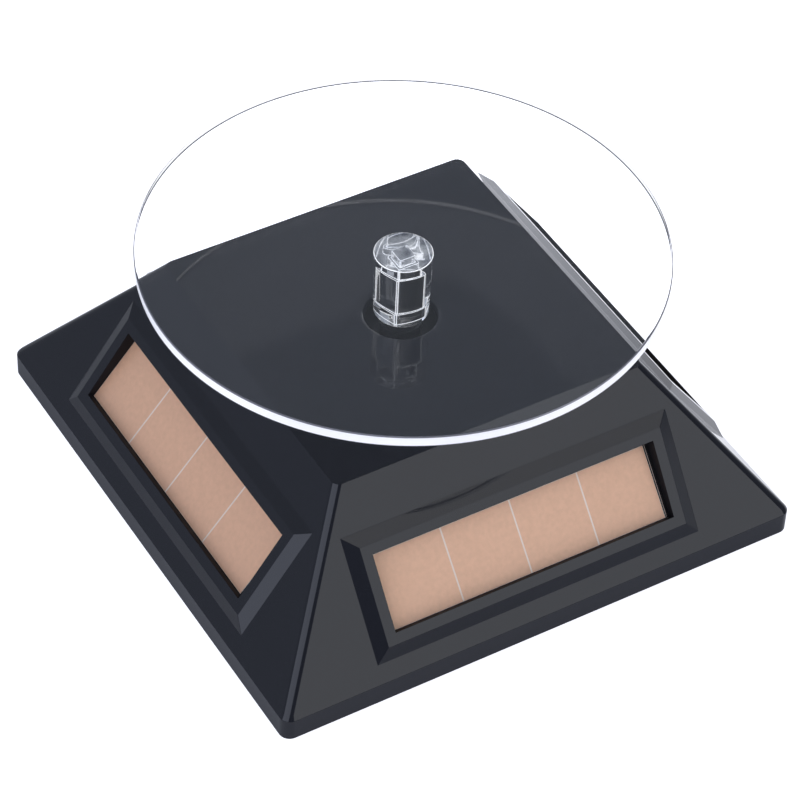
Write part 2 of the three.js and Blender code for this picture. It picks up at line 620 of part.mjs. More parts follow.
// ---------- motor ----------
function motor() {
  const group = new THREE.Group();
  group.position.set(MOTOR[0], MOTOR[1], 0);
  housing.add(group);
  const inner = MOTOR_RADIUS - MOTOR_WALL;
  const roof = MOTOR_TOP - MOTOR_WALL;
  const shaftHole = MOTOR_SHAFT_RADIUS + FIT;
  const screwCuts = MOTOR_SCREWS.map(([x, y]) =>
    rodAt(x - MOTOR[0], y - MOTOR[1], MOTOR_THREAD_RADIUS, 0, MOTOR_TOP + PAST, 10),
  );
  const can = turned(
    [
      [inner, MOTOR_BOTTOM],
      [MOTOR_RADIUS, MOTOR_BOTTOM],
      [MOTOR_RADIUS, MOTOR_TOP - MOTOR_EDGE],
      [MOTOR_RADIUS - MOTOR_EDGE, MOTOR_TOP],
      [MOTOR_NECK.radius, MOTOR_TOP],
      [MOTOR_NECK.radius, MOTOR_TOP + MOTOR_NECK.height],
      [shaftHole, MOTOR_TOP + MOTOR_NECK.height],
      [shaftHole, roof],
      [inner, roof],
      [inner, MOTOR_BOTTOM],
    ],
    28,
  );
  piece("motor_case", carve(can, { cut: screwCuts }), STEEL, group);
  const magnet = turnedRing(MAGNET.inner, inner - GAP / 2, MAGNET.bottom, MAGNET.top, 28);
  piece("motor_magnet", magnet, FERRITE, group);
  piece("motor_armature", armature(), COPPER, group);
  const { radius, bottom, top } = COMMUTATOR;
  piece("motor_commutator", turnedRing(shaftHole, radius, bottom, top, 14), BRASS, group);
  piece("motor_shaft", rod(MOTOR_SHAFT_RADIUS, MOTOR_SHAFT.bottom, MOTOR_SHAFT.top), STEEL, group);
  const cap = turned(
    [
      [0, MOTOR_BOTTOM],
      [inner - GAP / 2, MOTOR_BOTTOM],
      [inner - GAP / 2, MOTOR_BOTTOM + END_CAP.thickness],
      [shaftHole, MOTOR_BOTTOM + END_CAP.thickness],
      [shaftHole, MOTOR_BOTTOM + END_CAP.floor],
      [0, MOTOR_BOTTOM + END_CAP.floor],
    ],
    28,
  );
  piece("motor_end_cap", cap, WHITE_PLASTIC, group);
  const pinion = pinionGeometry(bearing(MOTOR, SHAFT_1), MOTOR_PINION_Z, MOTOR_PINION_TOP);
  const bore = rod(shaftHole, 0, UPPER_PLATE_Z, 20);
  piece("motor_pinion", carve(pinion, { cut: [bore] }), BRASS, group);
  MOTOR_SCREWS.forEach(([x, y], index) => {
    const seat = LOWER_PLATE_Z + PLATE.thickness + SEATED;
    screw("motor_screw_" + (index + 1), x, y, seat, MOTOR_SCREW);
  });
}

// Three wound poles on a hub.
function armature() {
  const { poles, hub, bottom, top, armWidth, armEnd } = ARMATURE;
  const { inner, outer, halfWidth, proud } = POLE_SHOE;
  const arms = [];
  for (let index = 0; index < poles; index++) {
    const arm = boxBetween([hub - PAST, -armWidth / 2, bottom], [armEnd, armWidth / 2, top]);
    const shoe = turnedRing(inner, outer, bottom - proud, top + proud, 32);
    const wedge = boxBetween([0, -halfWidth, bottom - PAST], [outer + PAST, halfWidth, top + PAST]);
    const pole = carve(keepInside(shoe, wedge), { add: [arm] });
    arms.push(pole.rotateZ((index * 2 * Math.PI) / poles));
  }
  return carve(rod(hub, bottom, top), { add: arms, cut: [rod(MOTOR_SHAFT_RADIUS + FIT, 0, MOTOR_TOP)] });
}

// ---------- bottom cover, battery tray and door ----------
// The tray's cross section across X: upright sides with a round top, as [y, z] about the battery's axis.
function archShape(radius, low) {
  const shape = new THREE.Shape();
  shape.moveTo(radius, low - BATTERY.z);
  shape.lineTo(radius, 0);
  shape.absarc(0, 0, radius, 0, Math.PI);
  shape.lineTo(-radius, low - BATTERY.z);
  shape.closePath();
  return shape;
}

// Extrudes a (y, z) shape along X from -half to half, about the battery's axis.
function alongBattery(shape, half, curveSegments = 10) {
  const geometry = new THREE.ExtrudeGeometry(shape, { depth: 2 * half, bevelEnabled: false, curveSegments });
  geometry.translate(0, 0, -half);
  geometry.applyMatrix4(new THREE.Matrix4().makeBasis(
    new THREE.Vector3(0, 1, 0),
    new THREE.Vector3(0, 0, 1),
    new THREE.Vector3(1, 0, 0),
  ));
  return geometry.translate(0, BATTERY.y, BATTERY.z);
}

function bottomCover() {
  const outline = roundedRectangle(COVER_HALF, COVER_HALF, COVER_CORNER);
  const plate = extruded(outline, COVER_BOTTOM, COVER_TOP);
  const trayShape = archShape(TRAY_INNER_RADIUS + TRAY_WALL, COVER_TOP - EMBED);
  const tray = alongBattery(trayShape, TRAY_INNER_HALF + TRAY_WALL);
  const hollow = alongBattery(archShape(TRAY_INNER_RADIUS, COVER_TOP), TRAY_INNER_HALF);
  const doorway = boxBetween(
    [-DOOR_HALF - GAP, BATTERY.y - DOOR_HALF_WIDTH - GAP, COVER_BOTTOM - PAST],
    [DOOR_HALF + GAP, BATTERY.y + DOOR_HALF_WIDTH + GAP, COVER_TOP + PAST],
  );
  const slotHalfWidth = TAB.halfWidth + TAB_SLOT.clearance;
  const tabSlot = boxBetween(
    [-TAB_SLOT.halfLength, BATTERY.y - slotHalfWidth, TAB.bottom - TAB_SLOT.clearance],
    [TAB_SLOT.halfLength, BATTERY.y + slotHalfWidth, TAB.top + TAB_SLOT.clearance],
  );
  const cuts = [hollow, doorway, tabSlot];
  for (const x of [-1, 1]) {
    for (const y of [-1, 1]) {
      const boss = [x * BOSS_PLACE, y * BOSS_PLACE];
      cuts.push(rodAt(...boss, COUNTERBORE.holeRadius, -PAST, COVER_TOP + PAST, 10));
      cuts.push(rodAt(...boss, COUNTERBORE.radius, -PAST, COVER_BOTTOM + COUNTERBORE.depth, 20));
      cuts.push(rodAt(x * FOOT_PLACE, y * FOOT_PLACE, FOOT_RADIUS + GAP, -PAST, FOOT_RECESS, 20));
    }
  }
  const standoffs = [-STANDOFF.offset, STANDOFF.offset].map((dx) =>
    rodAt(BOARD.x + dx, BOARD.y, STANDOFF.radius, COVER_TOP - EMBED, BOARD.z - SEATED, 16),
  );
  piece("bottom_cover", carve(plate, { add: [tray, ...standoffs], cut: cuts }), BLACK_SATIN);
}

function batteryDoor() {
  const outline = roundedRectangle(DOOR_HALF, DOOR_HALF_WIDTH, DOOR_CORNER);
  const lidTop = COVER_BOTTOM + DOOR_THICKNESS;
  const lid = extruded(outline, COVER_BOTTOM, lidTop).translate(0, BATTERY.y, 0);
  const { offset, halfWidth, reach, thickness, root } = TONGUE;
  const bottom = COVER_TOP + GAP;
  const tongues = [-offset, offset].flatMap((dy) => {
    const near = BATTERY.y + dy - halfWidth;
    const far = BATTERY.y + dy + halfWidth;
    return [
      boxBetween([-DOOR_HALF, near, lidTop - EMBED], [-DOOR_HALF + root, far, bottom + thickness]),
      boxBetween([-DOOR_HALF - reach, near, bottom], [-DOOR_HALF + root, far, bottom + thickness]),
    ];
  });
  const scallopTop = COVER_BOTTOM + SCALLOP.depth;
  const scallop = rodAt(DOOR_HALF + SCALLOP.offset, BATTERY.y, SCALLOP.radius, -PAST, scallopTop, 20);
  piece("battery_door", carve(lid, { add: tongues, cut: [scallop] }), BLACK_SATIN);
}

function coverHardware() {
  const footTop = FOOT_RECESS - SEATED;
  const screwSeat = COVER_BOTTOM + COUNTERBORE.depth - SEATED;
  let count = 0;
  for (const x of [-1, 1]) {
    for (const y of [-1, 1]) {
      count += 1;
      screw("cover_screw_" + count, x * BOSS_PLACE, y * BOSS_PLACE, screwSeat, COVER_SCREW);
      const foot = turned(
        [
          [0, -FOOT_PROUD],
          [FOOT_RADIUS - FOOT_EDGE, -FOOT_PROUD],
          [FOOT_RADIUS, -FOOT_PROUD + FOOT_EDGE],
          [FOOT_RADIUS, footTop],
          [0, footTop],
        ],
        20,
      );
      piece("rubber_foot_" + count, foot, RUBBER).position.set(x * FOOT_PLACE, y * FOOT_PLACE, 0);
    }
  }
}

// ---------- battery and contacts ----------
function battery() {
  const { half, radius, edge, nub, nubRadius, y, z } = BATTERY;
  const cell = turned(
    [
      [0, -half],
      [radius - edge, -half],
      [radius, -half + edge],
      [radius, half - edge],
      [radius - edge, half],
      [nubRadius, half],
      [nubRadius, half + nub],
      [0, half + nub],
    ],
    24,
  );
  cell.rotateY(Math.PI / 2).translate(0, y, z);
  piece("aa_cell", cell, LABEL_GREEN);
  piece("battery_contact", carve(contactPlate(1), { add: [solderTab(1), dimple()] }), STEEL);
  piece("battery_spring", carve(contactPlate(-1), { add: [solderTab(-1), springCoil()] }), STEEL);
}

// A contact plate and its tab at the tray's +X end (side 1) or its -X end (side -1).
const CONTACT_FACE = TRAY_INNER_HALF - GAP / 2 - CONTACT.thickness;

function endBox(side, near, far, [y0, z0], [y1, z1]) {
  const [x0, x1] = side > 0 ? [near, far] : [-far, -near];
  return boxBetween([x0, y0, z0], [x1, y1, z1]);
}

function contactPlate(side) {
  const { thickness, halfWidth, below, above } = CONTACT;
  const { y, z } = BATTERY;
  const low = [y - halfWidth, z - below];
  return endBox(side, CONTACT_FACE, CONTACT_FACE + thickness, low, [y + halfWidth, z + above]);
}

function solderTab(side) {
  const { halfWidth, reach, bottom, top } = TAB;
  const { y } = BATTERY;
  return endBox(side, CONTACT_FACE, TRAY_INNER_HALF + reach, [y - halfWidth, bottom], [y + halfWidth, top]);
}

function dimple() {
  const bump = rod(DIMPLE.radius, 0, DIMPLE.height, 14).rotateY(-Math.PI / 2);
  return bump.translate(CONTACT_FACE + CONTACT.thickness / 2, BATTERY.y, BATTERY.z);
}

// A conical spring from the negative contact plate to just short of the battery's end.
function springCoil() {
  const { turns, wide, narrow, wire, endGap } = SPRING;
  const start = -CONTACT_FACE - CONTACT.thickness / 2;
  const end = -BATTERY.half - endGap;
  const points = [];
  for (let step = 0; step <= SPRING_STEPS; step++) {
    const along = step / SPRING_STEPS;
    const angle = along * turns * 2 * Math.PI;
    const radius = wide + (narrow - wide) * along;
    points.push(
      new THREE.Vector3(
        start + (end - start) * along,
        BATTERY.y + radius * Math.cos(angle),
        BATTERY.z + radius * Math.sin(angle),
      ),
    );
  }
  return tube(points, wire, SPRING_STEPS, 5);
}

// ---------- leads and tag board ----------
function tube(points, radius, steps, sides = 8) {
  const section = new THREE.Shape();
  for (let side = 0; side < sides; side++) {
    const angle = (side * 2 * Math.PI) / sides;
    const method = side === 0 ? "moveTo" : "lineTo";
    section[method](radius * Math.cos(angle), radius * Math.sin(angle));
  }
  section.closePath();
  const extrudePath = new THREE.CatmullRomCurve3(points, false, "centripetal");
  return new THREE.ExtrudeGeometry(section, { steps, bevelEnabled: false, extrudePath });
}

function leads() {
  const { x, y, z, width, depth, thickness } = BOARD;
  const board = boxBetween([x - width / 2, y - depth / 2, z], [x + width / 2, y + depth / 2, z + thickness]);
  piece("tag_board", board, BOARD_GREEN);
  const top = z + thickness + LEAD_RADIUS + 0.1;
  const low = COVER_TOP + LEAD_RADIUS + 0.6;
  const behind = -CELL_THICKNESS - LEAD_RADIUS - GAP;
  const behindCell = (face, across, up) =>
    new THREE.Vector3(across, up, behind).applyMatrix4(cellMatrix(face));
  const at = (px, py, pz) => new THREE.Vector3(px, py, pz);
  const over = top + 0.6;
  const routes = {
    lead_front_cell: [LEAD_RED, behindCell(0, 24, 4.4), at(26, -30, 7), at(25, -19, over), at(25, -12, top)],
    lead_right_cell: [LEAD_RED, behindCell(1, -4, 4.4), at(35, -4, 8), at(32, -6, over), at(27.5, -8, top)],
    lead_back_cell: [
      LEAD_RED,
      behindCell(2, -20, 11.9),
      at(20, 30, 20.6),
      at(20, 20, 17),
      at(22, 10, 8),
      at(22, 2, top + 0.9),
      at(22, -3.5, top),
    ],
    lead_left_cell: [
      LEAD_RED,
      behindCell(3, -12, 4.4),
      at(-33, 14, 6),
      at(-20, 17, low + 0.5),
      at(4, 17.5, low),
      at(16, 8, low),
      at(17.5, 2, 5.4),
      at(19, -0.6, over),
      at(20, -4.5, top),
    ],
    lead_motor_1: [
      LEAD_BLACK,
      at(MOTOR[0] + 13.2, MOTOR[1] - 1, low),
      at(14, -14, low),
      at(15.5, -16.8, 4.6),
      at(18.5, -17, over),
      at(20.5, -13, top),
    ],
    lead_motor_2: [
      LEAD_RED,
      at(MOTOR[0] + 13.2, MOTOR[1] + 4, low),
      at(14, -4, low),
      at(15.5, -6.5, 5),
      at(17, -8.6, over),
      at(21, -9, top),
    ],
    lead_battery_positive: [
      LEAD_RED,
      at(33, 30, 14.2),
      at(34.5, 24, 12),
      at(33, 12, 8),
      at(29, 2, over),
      at(27.5, -3.5, top),
    ],
    lead_battery_negative: [
      LEAD_BLACK,
      at(-33, 30, 14.2),
      at(-34, 24, 10),
      at(-29, 18.8, 5),
      at(-20, 19, low + 0.4),
      at(4, 19.2, low),
      at(17, 12, low),
      at(22.5, 5, 5),
      at(24, 1, over),
      at(24, -4, top),
    ],
  };
  for (const [name, [material, ...points]] of Object.entries(routes)) {
    piece(name, tube(points, LEAD_RADIUS, 3 * (points.length - 1), 6), material);
  }
}

upperHousing();
solarCells();
displayDisc();
driveHub();
spindle();
gears();
gearbox();
motor();
bottomCover();
batteryDoor();
coverHardware();
battery();
leads();

export default stand;
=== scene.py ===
"""The looks of the turntable display stand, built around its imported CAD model.

Lengths are in millimetres from the origin of the stand's frame, and MM turns them into metres. The studio's
places are in metres.
"""

import json
import math

import bmesh
import bpy
from mathutils import Matrix, Vector


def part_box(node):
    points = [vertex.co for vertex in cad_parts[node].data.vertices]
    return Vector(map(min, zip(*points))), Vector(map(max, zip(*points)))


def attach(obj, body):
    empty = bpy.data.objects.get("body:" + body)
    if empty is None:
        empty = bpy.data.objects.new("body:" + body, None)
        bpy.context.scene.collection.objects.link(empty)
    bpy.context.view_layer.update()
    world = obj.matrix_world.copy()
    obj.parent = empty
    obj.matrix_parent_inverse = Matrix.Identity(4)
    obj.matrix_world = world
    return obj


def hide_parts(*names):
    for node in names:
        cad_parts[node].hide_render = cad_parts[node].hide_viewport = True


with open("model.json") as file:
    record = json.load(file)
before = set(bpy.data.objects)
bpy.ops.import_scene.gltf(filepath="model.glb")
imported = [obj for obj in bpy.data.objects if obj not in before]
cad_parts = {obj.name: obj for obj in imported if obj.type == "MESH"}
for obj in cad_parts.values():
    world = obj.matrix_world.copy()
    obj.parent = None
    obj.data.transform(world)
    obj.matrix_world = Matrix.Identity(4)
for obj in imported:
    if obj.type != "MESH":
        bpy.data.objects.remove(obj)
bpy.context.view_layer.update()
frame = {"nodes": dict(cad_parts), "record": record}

MM = 0.001


def node_box(node):
    """A CAD node's lowest and highest corner, in millimetres."""
    low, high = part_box(node)
    return low / MM, high / MM


# ---------- sizes ----------
HOUSING_LOW, HOUSING_HIGH = node_box("upper_housing")
DISC_LOW, DISC_HIGH = node_box("display_disc")
HUB_LOW, HUB_HIGH = node_box("drive_hub")
SPINDLE_LOW, SPINDLE_HIGH = node_box("spindle")

FOOT_PROUD = HOUSING_LOW.z  # the feet hold the housing this far off the table
BASE_HALF = HOUSING_HIGH.x
DECK_TOP = HOUSING_HIGH.z
SKIRT_HEIGHT = 4.2
SKIRT_TOP = FOOT_PROUD + SKIRT_HEIGHT
DECK_HALF = 29.87
SKIRT_CORNER = 1.95
RIDGE_CORNER = 1.55
RIDGE_START = 0.8  # height above the skirt where its corner has drawn in to the ridge's
DECK_CORNER = 1.55
CORNER_STEPS = 12
INNER_CORNER = 1.0
INNER_SKIRT_CORNER = 1.4
SKIRT_WALL = 2.0
SHELL_WALL = 1.8
HOLE_RADIUS = 6.2
HOLE_LIP = 1.0
LIP_STEPS = 6
SLOPE = math.atan2(DECK_TOP - SKIRT_TOP, BASE_HALF - DECK_HALF)

# Window frame on each face: half width along the face, then the span up the slope.
FRAME_FOOT = (31.6, 3.3, 25.5)
FRAME_TOP = (29.25, 5.65, 23.1)
WINDOW = (27.3, 7.6, 21.3)
FRAME_PROUD = 1.0
SIDES = ("front", "right", "back", "left")

# Each cell sits in a pocket behind its window, which leans back a little more than the face.
CELL_TILT = math.radians(5)
CELL_FRONT = -0.4  # the cell's front from the face, at the window's lower edge
CELL_THICKNESS = 1.1
CELL_MARGIN = 1.0
POCKET_GAP = 0.05
POCKET_MARGIN = 1.3
POCKET = (WINDOW[0] + POCKET_MARGIN, WINDOW[1] - POCKET_MARGIN, WINDOW[2] + POCKET_MARGIN)


# ---------- mesh helpers ----------
def add_object(name, bm, materials, smooth=True):
    """Makes an object from a bmesh in millimetres."""
    bmesh.ops.remove_doubles(bm, verts=bm.verts, dist=1e-5)
    bmesh.ops.recalc_face_normals(bm, faces=bm.faces)
    if bm.calc_volume(signed=True) < 0:
        bmesh.ops.reverse_faces(bm, faces=bm.faces)
    bmesh.ops.scale(bm, vec=(MM, MM, MM), verts=bm.verts)
    mesh = bpy.data.meshes.new(name)
    bm.to_mesh(mesh)
    bm.free()
    for material in materials:
        mesh.materials.append(material)
    for polygon in mesh.polygons:
        polygon.use_smooth = smooth
    obj = bpy.data.objects.new(name, mesh)
    bpy.context.scene.collection.objects.link(obj)
    return obj


def stand_for(obj, body, slot, *nodes):
    """Puts a piece on its body and in place of CAD nodes; slot is not used."""
    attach(obj, body)
    if nodes:
        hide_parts(*nodes)
    return obj


def soften(obj, width, segments=3, angle=15):
    """Rounds every edge sharper than angle by width millimetres, and keeps the flats flat."""
    bevel = obj.modifiers.new("soft_edges", "BEVEL")
    bevel.width = width * MM
    bevel.segments = segments
    bevel.limit_method = "ANGLE"
    bevel.angle_limit = math.radians(angle)
    bevel.use_clamp_overlap = True
    flats = obj.modifiers.new("flat_faces", "WEIGHTED_NORMAL")
    flats.mode = "FACE_AREA"
    flats.weight = 100
    return obj


def turned(bm, points, segments):
    """A surface of revolution about Z from (radius, height) points that start and end on the axis."""
    rings = []
    for radius, height in points:
        if radius == 0:
            rings.append([bm.verts.new((0, 0, height))])
            continue
        ring = []
        for step in range(segments):
            angle = step * math.tau / segments
            ring.append(bm.verts.new((radius * math.cos(angle), radius * math.sin(angle), height)))
        rings.append(ring)
    faces = []
    for lower, upper in zip(rings, rings[1:]):
        for step in range(segments):
            after = (step + 1) % segments
            corners = [lower[step % len(lower)], lower[after % len(lower)]]
            corners += [upper[after % len(upper)], upper[step % len(upper)]]
            unique = list(dict.fromkeys(corners))
            face = bm.faces.new(unique)
            face.normal_update()
            faces.append(face)
    return faces


def block(bm, low, high, material=0):
    """A box between two corners."""
    (x0, y0, z0), (x1, y1, z1) = low, high
    v = [bm.verts.new((x, y, z)) for z in (z0, z1) for x, y in ((x0, y0), (x1, y0), (x1, y1), (x0, y1))]
    quads = ((3, 2, 1, 0), (4, 5, 6, 7), (0, 1, 5, 4), (1, 2, 6, 5), (2, 3, 7, 6), (3, 0, 4, 7))
    for quad in quads:
        bm.faces.new([v[i] for i in quad]).material_index = material


def prism(bm, outline, low, high):
    """A straight-sided solid standing on an anticlockwise outline."""
    floor = [bm.verts.new((x, y, low)) for x, y in outline]
    roof = [bm.verts.new((x, y, high)) for x, y in outline]
    ring_faces(bm, floor, roof)
    bm.faces.new(roof)
    bm.faces.new(list(reversed(floor)))


def rounded_outline(half_x, half_y, corner, centre=(0, 0), steps=8):
    """Points round a rectangle with rounded corners; with the corner as half the width it is a circle."""
    points = []
    for quarter, (side_x, side_y) in enumerate(((1, 1), (-1, 1), (-1, -1), (1, -1))):
        for step in range(steps + 1):
            angle = (quarter + step / steps) * math.pi / 2
            x = centre[0] + side_x * (half_x - corner) + corner * math.cos(angle)
            y = centre[1] + side_y * (half_y - corner) + corner * math.sin(angle)
            if not points or math.dist(points[-1], (x, y)) > 1e-6:
                points.append((x, y))
    if math.dist(points[0], points[-1]) < 1e-6:
        points.pop()
    return points


def circle_outline(centre, radius):
    return rounded_outline(radius, radius, radius, centre, 12)


def combined(obj, operation, *solids):
    """Joins to an object, or cuts from it, each of the bmeshes, which are in millimetres."""
    for number, bm in enumerate(solids):
        tool = add_object(f"{obj.name}_tool_{number}", bm, [])
        modifier = obj.modifiers.new("tool", "BOOLEAN")
        modifier.object = tool
        modifier.operation = operation
        modifier.solver = "EXACT"
        shaped = obj.evaluated_get(bpy.context.evaluated_depsgraph_get())
        mesh = bpy.data.meshes.new_from_object(shaped)
        obj.modifiers.remove(modifier)
        obj.data = mesh
        bpy.data.objects.remove(tool)
    for polygon in obj.data.polygons:
        polygon.use_smooth = True
    return obj


def ring_faces(bm, ring_a, ring_b, material=0):
    """Quads between two closed loops of the same length."""
    count = len(ring_a)
    for i in range(count):
        j = (i + 1) % count
        bm.faces.new((ring_a[i], ring_a[j], ring_b[j], ring_b[i])).material_index = material


# ---------- materials ----------
def new_material(name):
    material = bpy.data.materials.new(name)
    material.use_nodes = True
    tree = material.node_tree
    return material, tree.nodes, tree.links, tree.nodes["Principled BSDF"]


def noise(nodes, links, scale, detail=4.0):
    """A noise texture in the object's own coordinates, in metres."""
    coordinates = nodes.new("ShaderNodeTexCoord")
    texture = nodes.new("ShaderNodeTexNoise")
    texture.inputs["Scale"].default_value = scale
    texture.inputs["Detail"].default_value = detail
    links.new(coordinates.outputs["Object"], texture.inputs["Vector"])
    return texture.outputs["Fac"]


NOISE_LOW, NOISE_HIGH = 0.3, 0.7  # most of a noise texture's values lie between these


def ramp(nodes, links, value, low, high):
    """Maps a noise texture on to the range low to high, numbers or colours."""
    if isinstance(low, tuple):
        node = nodes.new("ShaderNodeValToRGB")
        node.color_ramp.elements[0].position = NOISE_LOW
        node.color_ramp.elements[0].color = (*low, 1)
        node.color_ramp.elements[1].position = NOISE_HIGH
        node.color_ramp.elements[1].color = (*high, 1)
        links.new(value, node.inputs["Fac"])
        return node.outputs["Color"]
    node = nodes.new("ShaderNodeMapRange")
    node.inputs["From Min"].default_value = NOISE_LOW
    node.inputs["From Max"].default_value = NOISE_HIGH
    node.inputs["To Min"].default_value = low
    node.inputs["To Max"].default_value = high
    links.new(value, node.inputs["Value"])
    return node.outputs["Result"]


def add_bump(nodes, links, shader, height, strength, distance):
    bump = nodes.new("ShaderNodeBump")
    bump.inputs["Strength"].default_value = strength
    bump.inputs["Distance"].default_value = distance
    links.new(height, bump.inputs["Height"])
    links.new(bump.outputs["Normal"], shader.inputs["Normal"])


def surface(
    name, dark, light, rough, tint_scale=60, grain_scale=1500, grain=0.05, metallic=0.0, specular=0.5
):
    """A moulded, machined or painted surface: two close colours, uneven gloss and a fine grain."""
    material, nodes, links, shader = new_material(name)
    links.new(ramp(nodes, links, noise(nodes, links, tint_scale), dark, light), shader.inputs["Base Color"])
    links.new(ramp(nodes, links, noise(nodes, links, tint_scale * 3), *rough), shader.inputs["Roughness"])
    add_bump(nodes, links, shader, noise(nodes, links, grain_scale), grain, 0.1 * MM)
    shader.inputs["Metallic"].default_value = metallic
    shader.inputs["Specular IOR Level"].default_value = specular
    return material


ACRYLIC_IOR = 1.49


def let_lamps_through(nodes, links, shader):
    """Lamps shine through clear plastic instead of casting a solid shadow."""
    path = nodes.new("ShaderNodeLightPath")
    passing = nodes.new("ShaderNodeBsdfTransparent")
    passing.inputs["Color"].default_value = (0.93, 0.94, 0.95, 1)
    mix = nodes.new("ShaderNodeMixShader")
    links.new(path.outputs["Is Shadow Ray"], mix.inputs["Fac"])
    links.new(shader.outputs["BSDF"], mix.inputs[1])
    links.new(passing.outputs["BSDF"], mix.inputs[2])
    links.new(mix.outputs["Shader"], nodes["Material Output"].inputs["Surface"])


def clear_plastic(name, rough):
    """Polished clear acrylic."""
    material, nodes, links, shader = new_material(name)
    tint = ramp(nodes, links, noise(nodes, links, 25), (0.985, 0.99, 0.995), (0.995, 0.997, 1.0))
    links.new(tint, shader.inputs["Base Color"])
    links.new(ramp(nodes, links, noise(nodes, links, 120), *rough), shader.inputs["Roughness"])
    shader.inputs["Transmission Weight"].default_value = 1.0
    shader.inputs["IOR"].default_value = ACRYLIC_IOR
    let_lamps_through(nodes, links, shader)
    return material


def solar_film():
    """Copper-brown amorphous film under glass."""
    material, nodes, links, shader = new_material("solar_film")
    mottle = noise(nodes, links, 1100, detail=6)
    tint = ramp(nodes, links, mottle, (0.83, 0.484, 0.308), (0.90, 0.53, 0.341))
    links.new(tint, shader.inputs["Base Color"])
    links.new(ramp(nodes, links, noise(nodes, links, 300), 0.32, 0.42), shader.inputs["Roughness"])
    shader.inputs["Coat Weight"].default_value = 0.35
    shader.inputs["Coat Roughness"].default_value = 0.06
    return material


def painted_glow_edge(name, dark, light, rough, glow, glow_inside=None):
    """A ground edge on clear plastic: a pale colour plus an emission that paints a glow, a painted highlight;
    the painted glow can be stronger for rays from inside the plastic.
    """
    material = surface(name, dark, light, rough, 22, 2500, 0.05)
    nodes, links = material.node_tree.nodes, material.node_tree.links
    shader = nodes["Principled BSDF"]
    shader.inputs["Emission Color"].default_value = (1, 1, 1, 1)
    shader.inputs["Emission Strength"].default_value = glow
    if glow_inside:
        path = nodes.new("ShaderNodeLightPath")
        mix = nodes.new("ShaderNodeMix")
        mix.inputs["A"].default_value = glow
        mix.inputs["B"].default_value = glow_inside
        links.new(path.outputs["Is Transmission Ray"], mix.inputs["Factor"])
        links.new(mix.outputs["Result"], shader.inputs["Emission Strength"])
    return material


def glue_film_painted_glow():
    """The thin cloudy film of glue between the post's head and the disc; its cloudy tint is partly the film's
    own and partly painted highlight, and its emission is a painted glow.
    """
    material, nodes, links, shader = new_material("glue_film_painted_glow")
    cloud_and_glow = noise(nodes, links, 380, detail=3)
    links.new(ramp(nodes, links, cloud_and_glow, (0.55, 0.60, 0.72), (1.0, 1.0, 1.0)), shader.inputs["Base Color"])
    links.new(ramp(nodes, links, cloud_and_glow, 0.0, 0.16), shader.inputs["Roughness"])
    # Emission that follows the clouds: painted highlight on the post's head.
    links.new(ramp(nodes, links, cloud_and_glow, 0.0, 0.34), shader.inputs["Emission Strength"])
    shader.inputs["Emission Color"].default_value = (0.86, 0.91, 1.0, 1)
    shader.inputs["Transmission Weight"].default_value = 0.84
    shader.inputs["IOR"].default_value = ACRYLIC_IOR
    let_lamps_through(nodes, links, shader)
    return material


BLACK_GLOSS = surface(
    "black_gloss", (0.0105, 0.0112, 0.0165), (0.0120, 0.0128, 0.0185), (0.03, 0.06), 30, 2500, 0.01
)
WINDOW_WALL = surface(
    "window_wall", (0.008, 0.008, 0.010), (0.011, 0.011, 0.014), (0.45, 0.6), 60, 6000, 0.25, specular=0.15
)
BLACK_SATIN = surface(
    "black_satin", (0.013, 0.0135, 0.015), (0.018, 0.0185, 0.020), (0.38, 0.5), 60, 6000, 0.25
)
SPINDLE_BLACK = surface(
    "spindle_black", (0.008, 0.008, 0.009), (0.012, 0.012, 0.013), (0.34, 0.44), 90, 4000, 0.1
)
FILM = solar_film()
CELL_EDGE = surface("cell_edge", (0.012, 0.011, 0.012), (0.02, 0.018, 0.018), (0.1, 0.2))
# Pale layer that shows as scribe lines; the painted highlight strips at the glass plate's edge wear it too.
SCRIBE_AND_GLINT = surface("scribe_line_and_painted_glint", (0.90, 0.73, 0.63), (0.96, 0.79, 0.69), (0.25, 0.35))
CLEAR = clear_plastic("clear_acrylic", (0.0, 0.012))
GLUE = glue_film_painted_glow()
# Disc wall: the frosted white of a ground edge plus an emission glow, a painted highlight that is stronger
# seen through the plastic.
RIM = painted_glow_edge("ground_rim_painted_glow", (0.78, 0.78, 0.85), (0.99, 0.98, 0.98), (0.12, 0.22), 0.16, 0.8)
# Rounded rims: grey standing in for the dark line the clear rim shows, painted shade.
RIM_SHADE_LINE = surface("rim_painted_shade_line", (0.13, 0.13, 0.15), (0.30, 0.30, 0.34), (0.12, 0.22), 30, 2500, 0.05)
# Hub bevels: near-white with an emission glow, painted highlight.
HUB_EDGE = painted_glow_edge("hub_edge_painted_glow", (0.90, 0.92, 0.96), (0.97, 0.98, 1.0), (0.12, 0.22), 0.55)
RUBBER = surface("rubber", (0.016, 0.016, 0.017), (0.024, 0.024, 0.025), (0.75, 0.9), 80, 5000, 0.3)
STEEL = surface("plated_steel", (0.50, 0.51, 0.53), (0.60, 0.61, 0.63), (0.22, 0.34), 200, 3000, 0.08, 1.0)
NATURAL = surface("natural_acetal", (0.74, 0.72, 0.66), (0.80, 0.78, 0.72), (0.4, 0.5), 120, 4000, 0.1)
FERRITE = surface("ferrite", (0.035, 0.035, 0.037), (0.06, 0.06, 0.062), (0.6, 0.8), 300, 6000, 0.4)
COPPER = surface("winding", (0.50, 0.19, 0.08), (0.64, 0.27, 0.12), (0.28, 0.4), 400, 5000, 0.3, 1.0)
BRASS = surface("brass", (0.55, 0.38, 0.13), (0.64, 0.45, 0.18), (0.25, 0.38), 200, 3000, 0.1, 1.0)
BOARD_GREEN = surface("solder_mask", (0.03, 0.13, 0.06), (0.05, 0.18, 0.09), (0.3, 0.4), 200, 2000, 0.1)
